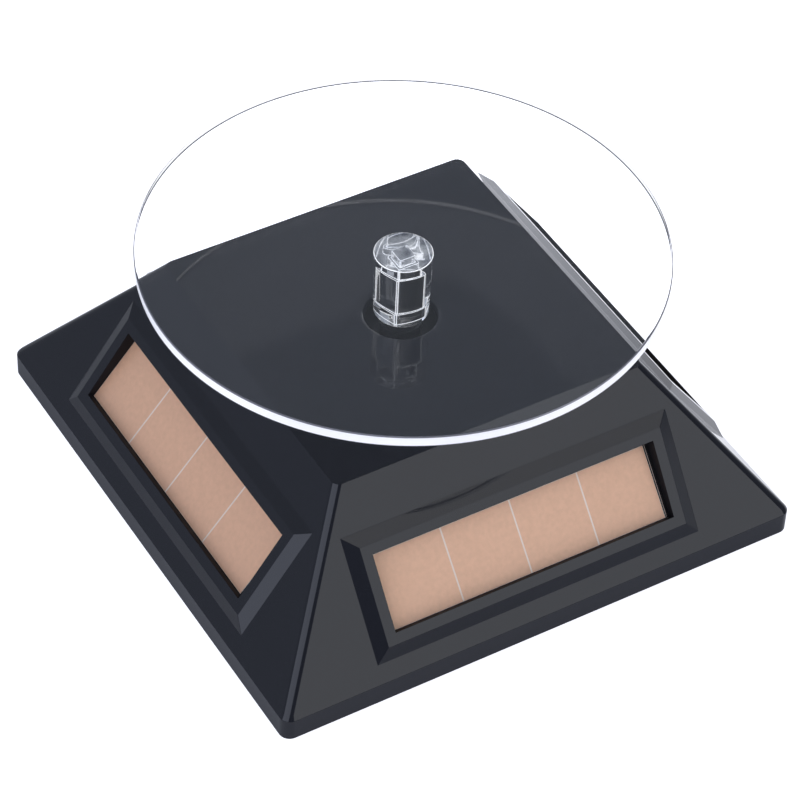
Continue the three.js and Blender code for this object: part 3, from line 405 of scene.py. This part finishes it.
RED_SLEEVE = surface(
    "red_insulation", (0.36, 0.025, 0.015), (0.46, 0.04, 0.025), (0.35, 0.45), 200, 4000, 0.1
)
BLACK_SLEEVE = surface(
    "black_insulation", (0.012, 0.012, 0.012), (0.02, 0.02, 0.02), (0.35, 0.45), 200, 4000, 0.1
)
CELL_SLEEVE = surface("battery_sleeve", (0.07, 0.18, 0.12), (0.10, 0.24, 0.16), (0.2, 0.3), 80, 2000, 0.04)

# What each record slot's kept CAD nodes wear.
SLOT_LOOKS = {
    "housing": BLACK_GLOSS,
    "cover": BLACK_SATIN,
    "solar_cell": FILM,
    "clear": CLEAR,
    "spindle": SPINDLE_BLACK,
    "gear": NATURAL,
    "steel": STEEL,
    "motor_can": STEEL,
    "ferrite": FERRITE,
    "copper": COPPER,
    "brass": BRASS,
    "rubber": RUBBER,
    "battery": CELL_SLEEVE,
    "board": BOARD_GREEN,
    "lead_red": RED_SLEEVE,
    "lead_black": BLACK_SLEEVE,
}


def dress_cad_nodes():
    """Gives every CAD node its slot's procedural material."""
    slots = {part["node"]: part["material_slot"] for part in frame["record"]["subparts"]}
    for node, obj in frame["nodes"].items():
        obj.data.materials.clear()
        obj.data.materials.append(SLOT_LOOKS[slots[node]])


# ---------- housing ----------
def face_matrix(side):
    """From a face's own frame (x across, y up the slope, z outwards) to the stand's; side 0 is the front."""
    turn = Matrix.Rotation(side * math.pi / 2, 4, "Z")
    place = Matrix.Translation((0, -BASE_HALF, SKIRT_TOP))
    tilt = Matrix.Rotation(SLOPE, 4, "X")
    return turn @ place @ tilt


def corner_arcs(bm, half, corner, height):
    """Four lists of vertices, the rounded corner at the right-hand end of each side."""
    arcs = []
    reach = half - corner
    for side in range(4):
        turn = Matrix.Rotation(side * math.pi / 2, 4, "Z")
        arc = []
        for step in range(CORNER_STEPS + 1):
            angle = -math.pi / 2 + step / CORNER_STEPS * math.pi / 2
            point = Vector((reach + corner * math.cos(angle), -reach + corner * math.sin(angle), height))
            arc.append(bm.verts.new(turn @ point))
        arcs.append(arc)
    return arcs


def closed_ring(arcs):
    return [vertex for arc in arcs for vertex in arc]


def rectangle(bm, side, span, depth, tilt=0.0):
    """Four vertices on a face, from its lower left, anticlockwise as seen from outside."""
    half, low, high = span
    corners = ((-half, low), (half, low), (half, high), (-half, high))
    matrix = face_matrix(side)
    drop = math.tan(tilt)
    return [bm.verts.new(matrix @ Vector((x, y, depth - drop * (y - WINDOW[1])))) for x, y in corners]


def face_with_hole(bm, side, lower, upper, hole):
    """The flat of one side between two sets of corner arcs, with a four-cornered hole."""
    left = (side - 1) % 4
    outline = [lower[left][-1], lower[side][0], upper[side][0], upper[left][-1]]
    ring_faces(bm, outline, hole)


def corner_strips(bm, lower, upper):
    for low_arc, high_arc in zip(lower, upper):
        for i in range(CORNER_STEPS):
            bm.faces.new((low_arc[i], low_arc[i + 1], high_arc[i + 1], high_arc[i]))


def hole_ring(bm, radius, height, count):
    """A circle whose vertices match a deck ring's, which starts at the right-hand end of the front side."""
    ring = []
    for step in range(count):
        angle = -math.pi / 4 + (step - CORNER_STEPS / 2) * math.tau / count
        ring.append(bm.verts.new((radius * math.cos(angle), radius * math.sin(angle), height)))
    return ring


def housing():
    """The black shell: skirt, sloping faces with raised window frames, and a deck with a rounded hole."""
    bm = bmesh.new()
    inward = SHELL_WALL / math.sin(SLOPE)
    bend = SKIRT_TOP - (inward - SKIRT_WALL) * math.tan(SLOPE)
    ceiling = DECK_TOP - SHELL_WALL
    inner_top = BASE_HALF - inward - (ceiling - SKIRT_TOP) / math.tan(SLOPE)
    inner_skirt = BASE_HALF - SKIRT_WALL

    foot = corner_arcs(bm, BASE_HALF, SKIRT_CORNER, FOOT_PROUD)
    skirt = corner_arcs(bm, BASE_HALF, SKIRT_CORNER, SKIRT_TOP)
    ridge_half = BASE_HALF - RIDGE_START / math.tan(SLOPE)
    ridge = corner_arcs(bm, ridge_half, RIDGE_CORNER, SKIRT_TOP + RIDGE_START)
    deck = corner_arcs(bm, DECK_HALF, DECK_CORNER, DECK_TOP)
    inner_foot = corner_arcs(bm, inner_skirt, INNER_SKIRT_CORNER, FOOT_PROUD)
    inner_bend = corner_arcs(bm, inner_skirt, INNER_SKIRT_CORNER, bend)
    inner_deck = corner_arcs(bm, inner_top, INNER_CORNER, ceiling)

    ring_faces(bm, closed_ring(foot), closed_ring(skirt))
    ring_faces(bm, closed_ring(inner_foot), closed_ring(foot))
    ring_faces(bm, closed_ring(inner_bend), closed_ring(inner_foot))
    ring_faces(bm, closed_ring(skirt), closed_ring(ridge))
    corner_strips(bm, ridge, deck)
    corner_strips(bm, inner_bend, inner_deck)

    for side in range(4):
        frame_foot = rectangle(bm, side, FRAME_FOOT, 0)
        frame_top = rectangle(bm, side, FRAME_TOP, FRAME_PROUD)
        window = rectangle(bm, side, WINDOW, FRAME_PROUD)
        lip = rectangle(bm, side, WINDOW, CELL_FRONT + POCKET_GAP, CELL_TILT)
        pocket = rectangle(bm, side, POCKET, CELL_FRONT + POCKET_GAP, CELL_TILT)
        pocket_back = rectangle(bm, side, POCKET, -SHELL_WALL)
        face_with_hole(bm, side, ridge, deck, frame_foot)
        rings = [frame_foot, frame_top, window, lip, pocket, pocket_back]
        for outer, inner in zip(rings, rings[1:]):
            ring_faces(bm, outer, inner, 1 if outer is window else 0)
        face_with_hole(bm, side, inner_bend, inner_deck, pocket_back)

    outer_ring = closed_ring(deck)
    count = len(outer_ring)
    rings = [outer_ring]
    for step in range(LIP_STEPS + 1):
        angle = step / LIP_STEPS * math.pi / 2
        radius = HOLE_RADIUS + HOLE_LIP * (1 - math.sin(angle))
        rings.append(hole_ring(bm, radius, DECK_TOP - HOLE_LIP * (1 - math.cos(angle)), count))
    rings.append(hole_ring(bm, HOLE_RADIUS, ceiling, count))
    rings.append(closed_ring(inner_deck))
    for outer, inner in zip(rings, rings[1:]):
        ring_faces(bm, outer, inner)

    shell = add_object("housing_shell", bm, [BLACK_GLOSS, WINDOW_WALL])
    soften(shell, 0.3)
    return stand_for(shell, "base", "housing", "upper_housing")


# ---------- solar cells ----------
SEGMENTS = 4
PLATE_HALF = WINDOW[0] + CELL_MARGIN
PLATE_LOW, PLATE_HIGH = -CELL_MARGIN, WINDOW[2] - WINDOW[1] + CELL_MARGIN
FILM_HALF = 26.65
FILM_LOW, FILM_HIGH = 0.05, 13.05  # up the tilted cell, from the window's lower edge
FILM_BORDER = 0.06
SCRIBE_WIDTH = 0.3
GLASS_EDGE_GLINT_GAP = 0.3  # from the film's end to the pale strip that paints the glass plate's bright edge as a highlight
LINE_PROUD = 0.03
FILM_PROUD = 0.04
FILM_SHIFTS = (-0.25, 0.1, 0.0, -0.7)  # how far each film sits off the middle of its window


def solar_cell(side):
    """A glass-backed cell: a dark plate, a pale layer that shows as scribe lines, pale strips past the film's
    ends that paint the glass plate's bright edge as a painted highlight, and brown film segments.
    """
    bm = bmesh.new()
    block(bm, (-PLATE_HALF, PLATE_LOW, -CELL_THICKNESS), (PLATE_HALF, PLATE_HIGH, 0), 0)
    shift = FILM_SHIFTS[side]
    strips = [(shift - FILM_HALF, shift + FILM_HALF)]
    # Pale strips just past each film end stand in for the glass plate's bright edge: painted highlight.
    for end in (shift - FILM_HALF - GLASS_EDGE_GLINT_GAP, shift + FILM_HALF + GLASS_EDGE_GLINT_GAP):
        strips.append((end - LINE_PROUD, end + LINE_PROUD))
    for left, right in strips:
        block(bm, (left, FILM_LOW, -LINE_PROUD), (right, FILM_HIGH, LINE_PROUD), 1)
    pitch = 2 * FILM_HALF / SEGMENTS
    for index in range(SEGMENTS):
        left = shift - FILM_HALF + index * pitch
        first = left + (FILM_BORDER if index == 0 else SCRIBE_WIDTH / 2)
        last = left + pitch - (FILM_BORDER if index == SEGMENTS - 1 else SCRIBE_WIDTH / 2)
        low, high = FILM_LOW + FILM_BORDER, FILM_HIGH - FILM_BORDER
        block(bm, (first, low, LINE_PROUD / 2), (last, high, FILM_PROUD), 2)
    place = Matrix.Translation((0, WINDOW[1], CELL_FRONT)) @ Matrix.Rotation(-CELL_TILT, 4, "X")
    bmesh.ops.transform(bm, matrix=face_matrix(side) @ place, verts=bm.verts)
    name = SIDES[side]
    cell = add_object("cell_" + name, bm, [CELL_EDGE, SCRIBE_AND_GLINT, FILM], smooth=False)
    return stand_for(cell, "base", "solar_cell", "solar_cell_" + name)


# ---------- disc, hub and spindle ----------
DISC_SEGMENTS = 192
ROUND_SEGMENTS = 48
EDGE_ROUND = 0.28
EDGE_STEPS = 4


def disc_profile():
    """Profile points of the disc, with both rims rounded."""
    centre = DISC_HIGH.x - EDGE_ROUND
    points = [(0, DISC_LOW.z)]
    for base, first in ((DISC_LOW.z + EDGE_ROUND, -math.pi / 2), (DISC_HIGH.z - EDGE_ROUND, 0)):
        for step in range(EDGE_STEPS + 1):
            angle = first + step / EDGE_STEPS * math.pi / 2
            points.append((centre + EDGE_ROUND * math.cos(angle), base + EDGE_ROUND * math.sin(angle)))
    points.append((0, DISC_HIGH.z))
    return points


def display_disc():
    """The clear disc: clear flats, a white wall with a painted glow, and rounded rims painted grey as fine
    lines of painted shade.
    """
    bm = bmesh.new()
    for face in turned(bm, disc_profile(), DISC_SEGMENTS):
        slant = abs(face.normal.z)
        if slant < 0.98:
            face.material_index = 1 if slant < 0.1 else 2
    disc = add_object("clear_disc", bm, [CLEAR, RIM, RIM_SHADE_LINE])
    for polygon in disc.data.polygons:
        polygon.use_smooth = abs(polygon.normal.z) < 0.99
    return stand_for(disc, "platter", "clear", "display_disc")


SOCKET_HALF = 2.0
MOUTH_HALF = 2.45  # the socket is wider at the foot
MOUTH_HEIGHT = 2.2
SOCKET_TOP = DECK_TOP + 10.27
TIP_SOCKET_HALF = 1.52
TIP_SOCKET_TOP = DECK_TOP + 13.17
HUB_FOOT_RADIUS = 4.75
HUB_HEAD_RADIUS = 5.1
HUB_FOOT = HUB_LOW.z
HUB_SEGMENTS = 64
HUB_GLOW_LINE = 0.09  # width of the bevel along each edge, which wears the near-white glowing edge material as a painted highlight


def square_loop(bm, half, height):
    """A square's outline, its vertices matched by angle to a circle's."""
    loop = []
    for step in range(HUB_SEGMENTS):
        angle = (step + 0.5) * math.tau / HUB_SEGMENTS
        x, y = math.cos(angle), math.sin(angle)
        scale = half / max(abs(x), abs(y))
        loop.append(bm.verts.new((x * scale, y * scale, height)))
    return loop


def circle_loop(bm, radius, height):
    loop = []
    for step in range(HUB_SEGMENTS):
        angle = (step + 0.5) * math.tau / HUB_SEGMENTS
        loop.append(bm.verts.new((radius * math.cos(angle), radius * math.sin(angle), height)))
    return loop


def drive_hub():
    """The clear post: a slight taper outside and a stepped square socket inside."""
    bm = bmesh.new()
    outside = [  # radius and height, with rounded edges at the foot and the head
        (HUB_FOOT_RADIUS - 0.35, HUB_FOOT),
        (HUB_FOOT_RADIUS - 0.1, HUB_FOOT + 0.1),
        (HUB_FOOT_RADIUS, HUB_FOOT + 0.35),
        (HUB_HEAD_RADIUS, HUB_HIGH.z - 0.3),
        (HUB_HEAD_RADIUS - 0.1, HUB_HIGH.z - 0.08),
        (HUB_HEAD_RADIUS - 0.3, HUB_HIGH.z),
    ]
    loops = [circle_loop(bm, radius, height) for radius, height in outside]
    for lower, upper in zip(loops, loops[1:]):
        ring_faces(bm, lower, upper)
    bm.faces.new(loops[-1]).material_index = 2
    inside = [  # half a side and height
        (MOUTH_HALF, HUB_FOOT),
        (MOUTH_HALF, HUB_FOOT + MOUTH_HEIGHT),
        (SOCKET_HALF, HUB_FOOT + MOUTH_HEIGHT),
        (SOCKET_HALF, SOCKET_TOP),
        (TIP_SOCKET_HALF, SOCKET_TOP),
        (TIP_SOCKET_HALF, TIP_SOCKET_TOP),
    ]
    sockets = [square_loop(bm, half, height) for half, height in inside]
    ring_faces(bm, sockets[0], loops[0])
    for lower, upper in zip(sockets, sockets[1:]):
        ring_faces(bm, upper, lower)
    bm.faces.new(sockets[-1])
    hub = add_object("clear_hub", bm, [CLEAR, HUB_EDGE, GLUE], smooth=False)
    # The bevels wear the near-white glowing edge material: painted highlight.
    soften(hub, HUB_GLOW_LINE, 2, 30).modifiers["soft_edges"].material = 1
    return stand_for(hub, "platter", "clear", "drive_hub")


PEG_HALF = 1.85
PEG_TOP = DECK_TOP + 9.97
TIP_HALF = 1.375
PIVOT_RADIUS = 1.25
PIVOT_HEIGHT = 8.0  # above the spindle's lower end
SEAT_RADIUS = 1.6
SEAT_HEIGHT = 10.3
JOURNAL_RADIUS = 2.3
FLANGE_RADIUS = 3.2
FLANGE_TOP = DECK_TOP - 0.63
FLANGE_BOTTOM = FLANGE_TOP - 0.85
EMBED = 0.2  # how far each square runs into what is below it


def spindle():
    """The black stepped square peg, its flange and the round journal below."""
    bm = bmesh.new()
    steps = [
        (PIVOT_RADIUS, SPINDLE_LOW.z, SPINDLE_LOW.z + PIVOT_HEIGHT),
        (SEAT_RADIUS, SPINDLE_LOW.z + PIVOT_HEIGHT, SPINDLE_LOW.z + SEAT_HEIGHT),
        (JOURNAL_RADIUS, SPINDLE_LOW.z + SEAT_HEIGHT, FLANGE_BOTTOM),
        (FLANGE_RADIUS, FLANGE_BOTTOM, FLANGE_TOP),
    ]
    profile = [(0, SPINDLE_LOW.z)]
    for radius, low, high in steps:
        profile += [(radius, low), (radius, high)]
    profile.append((0, FLANGE_TOP))
    turned(bm, profile, ROUND_SEGMENTS)
    block(bm, (-PEG_HALF, -PEG_HALF, FLANGE_TOP - EMBED), (PEG_HALF, PEG_HALF, PEG_TOP))
    block(bm, (-TIP_HALF, -TIP_HALF, PEG_TOP - EMBED), (TIP_HALF, TIP_HALF, SPINDLE_HIGH.z))
    peg = add_object("drive_spindle", bm, [SPINDLE_BLACK], smooth=False)
    soften(peg, 0.12, 2, 30)
    return stand_for(peg, "spindle_drive", "spindle", "spindle")


# ---------- underside and battery ----------
COVER_LOW, COVER_HIGH = node_box("bottom_cover")
DOOR_LOW, DOOR_HIGH = node_box("battery_door")
FOOT_LOW, FOOT_HIGH = node_box("rubber_foot_1")
SCREW_LOW, SCREW_HIGH = node_box("cover_screw_1")
CELL_LOW, CELL_HIGH = node_box("aa_cell")
CORNERS = ((-1, -1), (-1, 1), (1, -1), (1, 1))
PLATE_TOP = COVER_LOW.z + 1.7
COVER_CORNER = 1.5
PAST = 1.0  # how far a cutter runs past what it cuts
BOSS_PLACE = 35.5
SCREW_HOLE_RADIUS = 1.5
SCREW_WELL_RADIUS = 2.9
SCREW_WELL_DEPTH = 1.0
FOOT_PLACE = 42.5
FOOT_RADIUS = 4.0
POST_PLACES = ((19.5, -8), (28.5, -8))
POST_RADIUS = 1.5
POST_TOP = 4.95
BATTERY_RADIUS = (CELL_HIGH.z - CELL_LOW.z) / 2
BATTERY_Y = (CELL_HIGH.y + CELL_LOW.y) / 2
BATTERY_Z = (CELL_HIGH.z + CELL_LOW.z) / 2
BATTERY_HALF = 24.6
TRAY_RADIUS = 7.85
TRAY_WALL = 1.2
TRAY_HALF = 28.5
DOOR_HALF = DOOR_HIGH.x
DOOR_HALF_WIDTH = (DOOR_HIGH.y - DOOR_LOW.y) / 2
DOOR_TOP = DOOR_LOW.z + 1.5
BAY_GAP = 0.3
SEAT_GAP = 0.05
SIDE_STEPS = 20


def new_solid(build, *args):
    bm = bmesh.new()
    build(bm, *args)
    return bm


def arch(bm, radius, half, low):
    """A tunnel-shaped solid along the battery: straight sides up to its axis, then half a circle."""
    outline = [(BATTERY_Y - radius, low), (BATTERY_Y + radius, low)]
    for step in range(SIDE_STEPS + 1):
        angle = step / SIDE_STEPS * math.pi
        outline.append((BATTERY_Y + radius * math.cos(angle), BATTERY_Z + radius * math.sin(angle)))
    ends = [[bm.verts.new((x, y, z)) for y, z in outline] for x in (-half, half)]
    ring_faces(bm, *ends)
    bm.faces.new(ends[1])
    bm.faces.new(list(reversed(ends[0])))


def bottom_cover():
    """The cover plate: battery bay, doorway, screw wells, foot recesses and two posts for the tag board."""
    outline = rounded_outline(COVER_HIGH.x, COVER_HIGH.x, COVER_CORNER)
    cover = add_object("cover_plate", new_solid(prism, outline, COVER_LOW.z, PLATE_TOP), [BLACK_SATIN])
    root = PLATE_TOP - 0.5
    tray = new_solid(arch, TRAY_RADIUS + TRAY_WALL, TRAY_HALF + TRAY_WALL, root)
    posts = [new_solid(prism, circle_outline(place, POST_RADIUS), root, POST_TOP) for place in POST_PLACES]
    combined(cover, "UNION", tray, *posts)

    below, above = COVER_LOW.z - PAST, PLATE_TOP + PAST
    doorway = [
        (side_x * (DOOR_HALF + BAY_GAP), BATTERY_Y + side_y * (DOOR_HALF_WIDTH + BAY_GAP))
        for side_x, side_y in ((1, 1), (-1, 1), (-1, -1), (1, -1))
    ]
    holes, wells = bmesh.new(), bmesh.new()
    for x, y in CORNERS:
        boss, foot = (x * BOSS_PLACE, y * BOSS_PLACE), (x * FOOT_PLACE, y * FOOT_PLACE)
        prism(holes, circle_outline(boss, SCREW_HOLE_RADIUS), below, above)
        prism(wells, circle_outline(boss, SCREW_WELL_RADIUS), below, COVER_LOW.z + SCREW_WELL_DEPTH)
        prism(wells, circle_outline(foot, FOOT_RADIUS + BAY_GAP), below, FOOT_HIGH.z + SEAT_GAP)
    bay = new_solid(arch, TRAY_RADIUS, TRAY_HALF, PLATE_TOP)
    combined(cover, "DIFFERENCE", bay, new_solid(prism, doorway, below, above), holes, wells)
    soften(cover, 0.15, 2, 30)
    return stand_for(cover, "base", "cover", "bottom_cover")


TONGUE_PLACE = 5.4  # off the door's middle, each way
TONGUE_HALF = 1.5
TONGUE_THICKNESS = 0.7
SCALLOP_RADIUS = 4.5
SCALLOP_DEPTH = 0.8
GRIP_LINES = 5
GRIP_PITCH = 1.3
GRIP_START = 5.0  # from the door's free end
GRIP_SIZE = (0.5, 4.0, 0.25)  # width, half length and depth of a line


def battery_door():
    """The lid of the battery bay: two hooked tongues, a finger scallop and grip lines beside it."""
    outline = rounded_outline(DOOR_HALF, DOOR_HALF_WIDTH, 0.8, (0, BATTERY_Y))
    door = add_object("bay_lid", new_solid(prism, outline, DOOR_LOW.z, DOOR_TOP), [BLACK_SATIN])
    tongues = []
    for middle in (BATTERY_Y - TONGUE_PLACE, BATTERY_Y + TONGUE_PLACE):
        near, far = middle - TONGUE_HALF, middle + TONGUE_HALF
        root = (-DOOR_HALF, near, DOOR_TOP - 0.5), (-DOOR_HALF + 1, far, DOOR_HIGH.z)
        reach = (DOOR_LOW.x, near, DOOR_HIGH.z - TONGUE_THICKNESS), (-DOOR_HALF + 0.5, far, DOOR_HIGH.z)
        tongues += [new_solid(block, *root), new_solid(block, *reach)]
    combined(door, "UNION", *tongues)

    below = DOOR_LOW.z - PAST
    scoop = circle_outline((DOOR_HALF + 2.5, BATTERY_Y), SCALLOP_RADIUS)
    scallop = new_solid(prism, scoop, below, DOOR_LOW.z + SCALLOP_DEPTH)
    grips = bmesh.new()
    width, reach_y, depth = GRIP_SIZE
    for line in range(GRIP_LINES):
        x = DOOR_HALF - GRIP_START - line * GRIP_PITCH
        block(grips, (x, BATTERY_Y - reach_y, below), (x + width, BATTERY_Y + reach_y, DOOR_LOW.z + depth))
    combined(door, "DIFFERENCE", scallop, grips)
    soften(door, 0.12, 2, 30)
    return stand_for(door, "door", "cover", "battery_door")


FOOT_ROUND = 0.4
FOOT_ROUND_STEPS = 6
FOOT_HOLLOW = (2.2, 2.4, 0.15)  # radius at its top, radius at its mouth, and depth


def rubber_foot(number, x, y):
    """A rubber disc with a rounded edge and a shallow hollow under it."""
    bm = bmesh.new()
    top_radius, mouth_radius, depth = FOOT_HOLLOW
    profile = [(0, FOOT_LOW.z + depth), (top_radius, FOOT_LOW.z + depth), (mouth_radius, FOOT_LOW.z)]
    for step in range(FOOT_ROUND_STEPS + 1):
        angle = step / FOOT_ROUND_STEPS * math.pi / 2
        across, up = FOOT_ROUND * math.sin(angle), FOOT_ROUND * math.cos(angle)
        profile.append((FOOT_RADIUS - FOOT_ROUND + across, FOOT_LOW.z + FOOT_ROUND - up))
    profile += [(FOOT_RADIUS, FOOT_HIGH.z), (0, FOOT_HIGH.z)]
    turned(bm, profile, ROUND_SEGMENTS)
    bmesh.ops.translate(bm, vec=(x * FOOT_PLACE, y * FOOT_PLACE, 0), verts=bm.verts)
    foot = add_object(f"foot_{number}", bm, [RUBBER])
    soften(foot, 0.08, 2, 30)
    return stand_for(foot, "base", "rubber", f"rubber_foot_{number}")


def cross_outline(centre, reach, width):
    """A plus sign, anticlockwise."""
    points = []
    for quarter in range(4):
        turn = Matrix.Rotation(quarter * math.pi / 2, 2)
        points += [turn @ Vector(corner) for corner in ((reach, width), (width, width), (width, reach))]
    return [(centre[0] + point.x, centre[1] + point.y) for point in points]


SCREW_HEAD = ((1.9, 0), (2.35, 0.12), (2.6, 0.4), (2.6, 0.9))  # radius, and height above the head's face
SCREW_SHANK_RADIUS = 0.95
SCREW_POINT = (0.3, 1.2)  # radius at the end, and length
RECESS_SIZE = (1.25, 0.3)  # reach and half width of its arms
RECESS_DEPTH = 0.6


def cover_screw(number, x, y):
    """A pan-head screw, head down, with a cross recess."""
    bm = bmesh.new()
    low, high = SCREW_LOW.z, SCREW_HIGH.z
    point_radius, point_length = SCREW_POINT
    profile = [(0, low)] + [(radius, low + height) for radius, height in SCREW_HEAD]
    profile += [(SCREW_SHANK_RADIUS, low + SCREW_HEAD[-1][1]), (SCREW_SHANK_RADIUS, high - point_length)]
    profile += [(point_radius, high), (0, high)]
    turned(bm, profile, ROUND_SEGMENTS)
    place = (x * BOSS_PLACE, y * BOSS_PLACE)
    bmesh.ops.translate(bm, vec=(*place, 0), verts=bm.verts)
    screw = add_object(f"screw_{number}", bm, [STEEL])
    recess = new_solid(prism, cross_outline(place, *RECESS_SIZE), low - PAST, low + RECESS_DEPTH)
    combined(screw, "DIFFERENCE", recess)
    soften(screw, 0.05, 2, 30)
    return stand_for(screw, "base", "steel", f"cover_screw_{number}")


BATTERY_SEGMENTS = 64
SLEEVE_LIP = {"base": 1.3, "cap": 2.2}  # how far the sleeve rolls in over each end
SLEEVE_THICKNESS = 0.2
NUB_RADIUS = 2.7
NUB_HEIGHT = 1.2
NUB_EDGE = 0.15


def battery_cell():
    """An AA cell: a sleeve rolled over both ends, a steel cap and a steel base."""
    bm = bmesh.new()
    radius, half = BATTERY_RADIUS, BATTERY_HALF
    base, cap = radius - SLEEVE_LIP["base"], radius - SLEEVE_LIP["cap"]
    rounding = ((0.5, 0), (0.15, 0.15), (0, 0.5))  # in from the sleeve's side, and in from its end
    profile = [(0, -half + SLEEVE_THICKNESS), (base, -half + SLEEVE_THICKNESS), (base, -half)]
    profile += [(radius - inward, -half + along_axis) for inward, along_axis in rounding]
    profile += [(radius - inward, half - along_axis) for inward, along_axis in reversed(rounding)]
    profile += [(cap, half), (cap, half - SLEEVE_THICKNESS), (NUB_RADIUS, half - SLEEVE_THICKNESS)]
    profile += [(NUB_RADIUS, half + NUB_HEIGHT - NUB_EDGE), (NUB_RADIUS - NUB_EDGE, half + NUB_HEIGHT)]
    profile += [(0, half + NUB_HEIGHT)]
    for face in turned(bm, profile, BATTERY_SEGMENTS):
        middle = face.calc_center_median()
        steel_radius = base if middle.z < 0 else cap
        if math.hypot(middle.x, middle.y) < steel_radius - 0.1:
            face.material_index = 1
    turn = Matrix.Translation((0, BATTERY_Y, BATTERY_Z)) @ Matrix.Rotation(math.pi / 2, 4, "Y")
    bmesh.ops.transform(bm, matrix=turn, verts=bm.verts)
    cell = add_object("aa_battery", bm, [CELL_SLEEVE, STEEL])
    soften(cell, 0.06, 2, 30)
    return stand_for(cell, "base", "battery", "aa_cell")


# ---------- studio ----------
FLOOR_HALF = 3.0


def studio_floor():
    """A pale seamless floor, which glossy surfaces see glow only beside the stand, on its right."""
    bm = bmesh.new()
    bmesh.ops.create_grid(bm, x_segments=1, y_segments=1, size=FLOOR_HALF)
    mesh = bpy.data.meshes.new("studio_floor")
    bm.to_mesh(mesh)
    bm.free()
    floor = bpy.data.objects.new("studio_floor", mesh)
    bpy.context.scene.collection.objects.link(floor)
    material, nodes, links, shader = new_material("studio_white")
    shader.inputs["Base Color"].default_value = (0.8, 0.8, 0.8, 1)
    shader.inputs["Roughness"].default_value = 0.9
    shader.inputs["Specular IOR Level"].default_value = 0.0
    shader.inputs["Emission Color"].default_value = (0.94, 0.95, 1.03, 1)
    beside = along(nodes, links, "Object", (0.8, 0.6, 0), (0.008, 0.020), (0.05, 1.25))
    near = along(nodes, links, "Object", (0.6, -0.8, 0), (-0.01, 0.1), (1.35, 0.1))
    right = along(nodes, links, "Object", (0.8, -0.6, 0), (-0.10, -0.03), (0.04, 1))
    glow = multiplied(nodes, links, multiplied(nodes, links, beside, near), right)
    path = nodes.new("ShaderNodeLightPath")
    mix = nodes.new("ShaderNodeMix")
    mix.inputs["A"].default_value = 1.0
    links.new(path.outputs["Is Glossy Ray"], mix.inputs["Factor"])
    links.new(glow, mix.inputs["B"])
    links.new(mix.outputs["Result"], shader.inputs["Emission Strength"])
    mesh.materials.append(material)


def surround():
    """A dim bluish surround that is brighter on one side."""
    world = bpy.data.worlds.new("studio")
    world.use_nodes = True
    nodes, links = world.node_tree.nodes, world.node_tree.links
    background = nodes["Background"]
    background.inputs["Color"].default_value = (0.77, 0.85, 1.0, 1)
    strength = along(nodes, links, "Generated", (-0.3, 0.9, -0.35), (-0.45, 0.44), (0.17, 0.40))
    links.new(strength, background.inputs["Strength"])
    bpy.context.scene.world = world


def along(nodes, links, coordinates, direction, places, values):
    """A brightness that goes from one value to the other between two places along a direction."""
    source = nodes.new("ShaderNodeTexCoord")
    dot = nodes.new("ShaderNodeVectorMath")
    dot.operation = "DOT_PRODUCT"
    dot.inputs[1].default_value = direction
    ease = nodes.new("ShaderNodeMapRange")
    ease.inputs["From Min"].default_value, ease.inputs["From Max"].default_value = places
    ease.inputs["To Min"].default_value, ease.inputs["To Max"].default_value = values
    links.new(source.outputs[coordinates], dot.inputs[0])
    links.new(dot.outputs["Value"], ease.inputs["Value"])
    return ease.outputs["Result"]


def multiplied(nodes, links, first, second):
    """The product of two brightnesses."""
    product = nodes.new("ShaderNodeMath")
    product.operation = "MULTIPLY"
    links.new(first, product.inputs[0])
    links.new(second, product.inputs[1])
    return product.outputs["Value"]


def softbox(name, place, target, size, power, color=(1, 1, 1)):
    """A rectangular area light at a place, turned to a target."""
    light = bpy.data.lights.new(name, "AREA")
    light.shape = "RECTANGLE"
    light.size, light.size_y = size
    light.energy = power
    light.color = color
    lamp = bpy.data.objects.new(name, light)
    lamp.location = place
    lamp.rotation_euler = (Vector(target) - Vector(place)).to_track_quat("-Z", "Y").to_euler()
    bpy.context.scene.collection.objects.link(lamp)


# The camera's place about the stand: turned left of the front, looking down, and rolled a little clockwise.
CAMERA_PLACE = Vector((-232.25, -367.93, 435.80 + FOOT_PROUD)) * MM
CAMERA_TARGET = Vector((-0.71, -2.18, 13.75 + FOOT_PROUD)) * MM
CAMERA_ROLL = 0.04705
CAMERA_LENS = 156.9


def camera():
    data = bpy.data.cameras.new("camera")
    data.lens = CAMERA_LENS
    data.sensor_width = 36
    data.clip_start = 0.01
    cam = bpy.data.objects.new("camera", data)
    look = (CAMERA_TARGET - CAMERA_PLACE).to_track_quat("-Z", "Y")
    cam.rotation_euler = (look.to_matrix() @ Matrix.Rotation(CAMERA_ROLL, 3, "Z")).to_euler()
    cam.location = CAMERA_PLACE
    bpy.context.scene.collection.objects.link(cam)
    bpy.context.scene.camera = cam


camera()
studio_floor()
surround()
softbox("front_light", (0.52, -1.03, 0.46), (0, 0, 0), (0.9, 0.8), 2.7, (0.96, 0.98, 1.0))
softbox("left_light", (-0.889, -0.383, 0.63), (0, 0, 0), (1.05, 0.95), 4.2, (0.84, 0.90, 1.08))
softbox("top_light", (0.5, -0.42, 1.1), (0, 0, 0), (0.7, 0.7), 1.5)
softbox("back_card", (0.62, 0.47, 0.08), (0, 0, 0.02), (0.45, 0.2), 0.45)
bpy.context.scene.view_settings.view_transform = "Standard"

dress_cad_nodes()
housing()
for number in range(4):
    solar_cell(number)
display_disc()
drive_hub()
spindle()
bottom_cover()
battery_door()
for number, (across, along_y) in enumerate(CORNERS, 1):
    rubber_foot(number, across, along_y)
    cover_screw(number, across, along_y)
battery_cell()
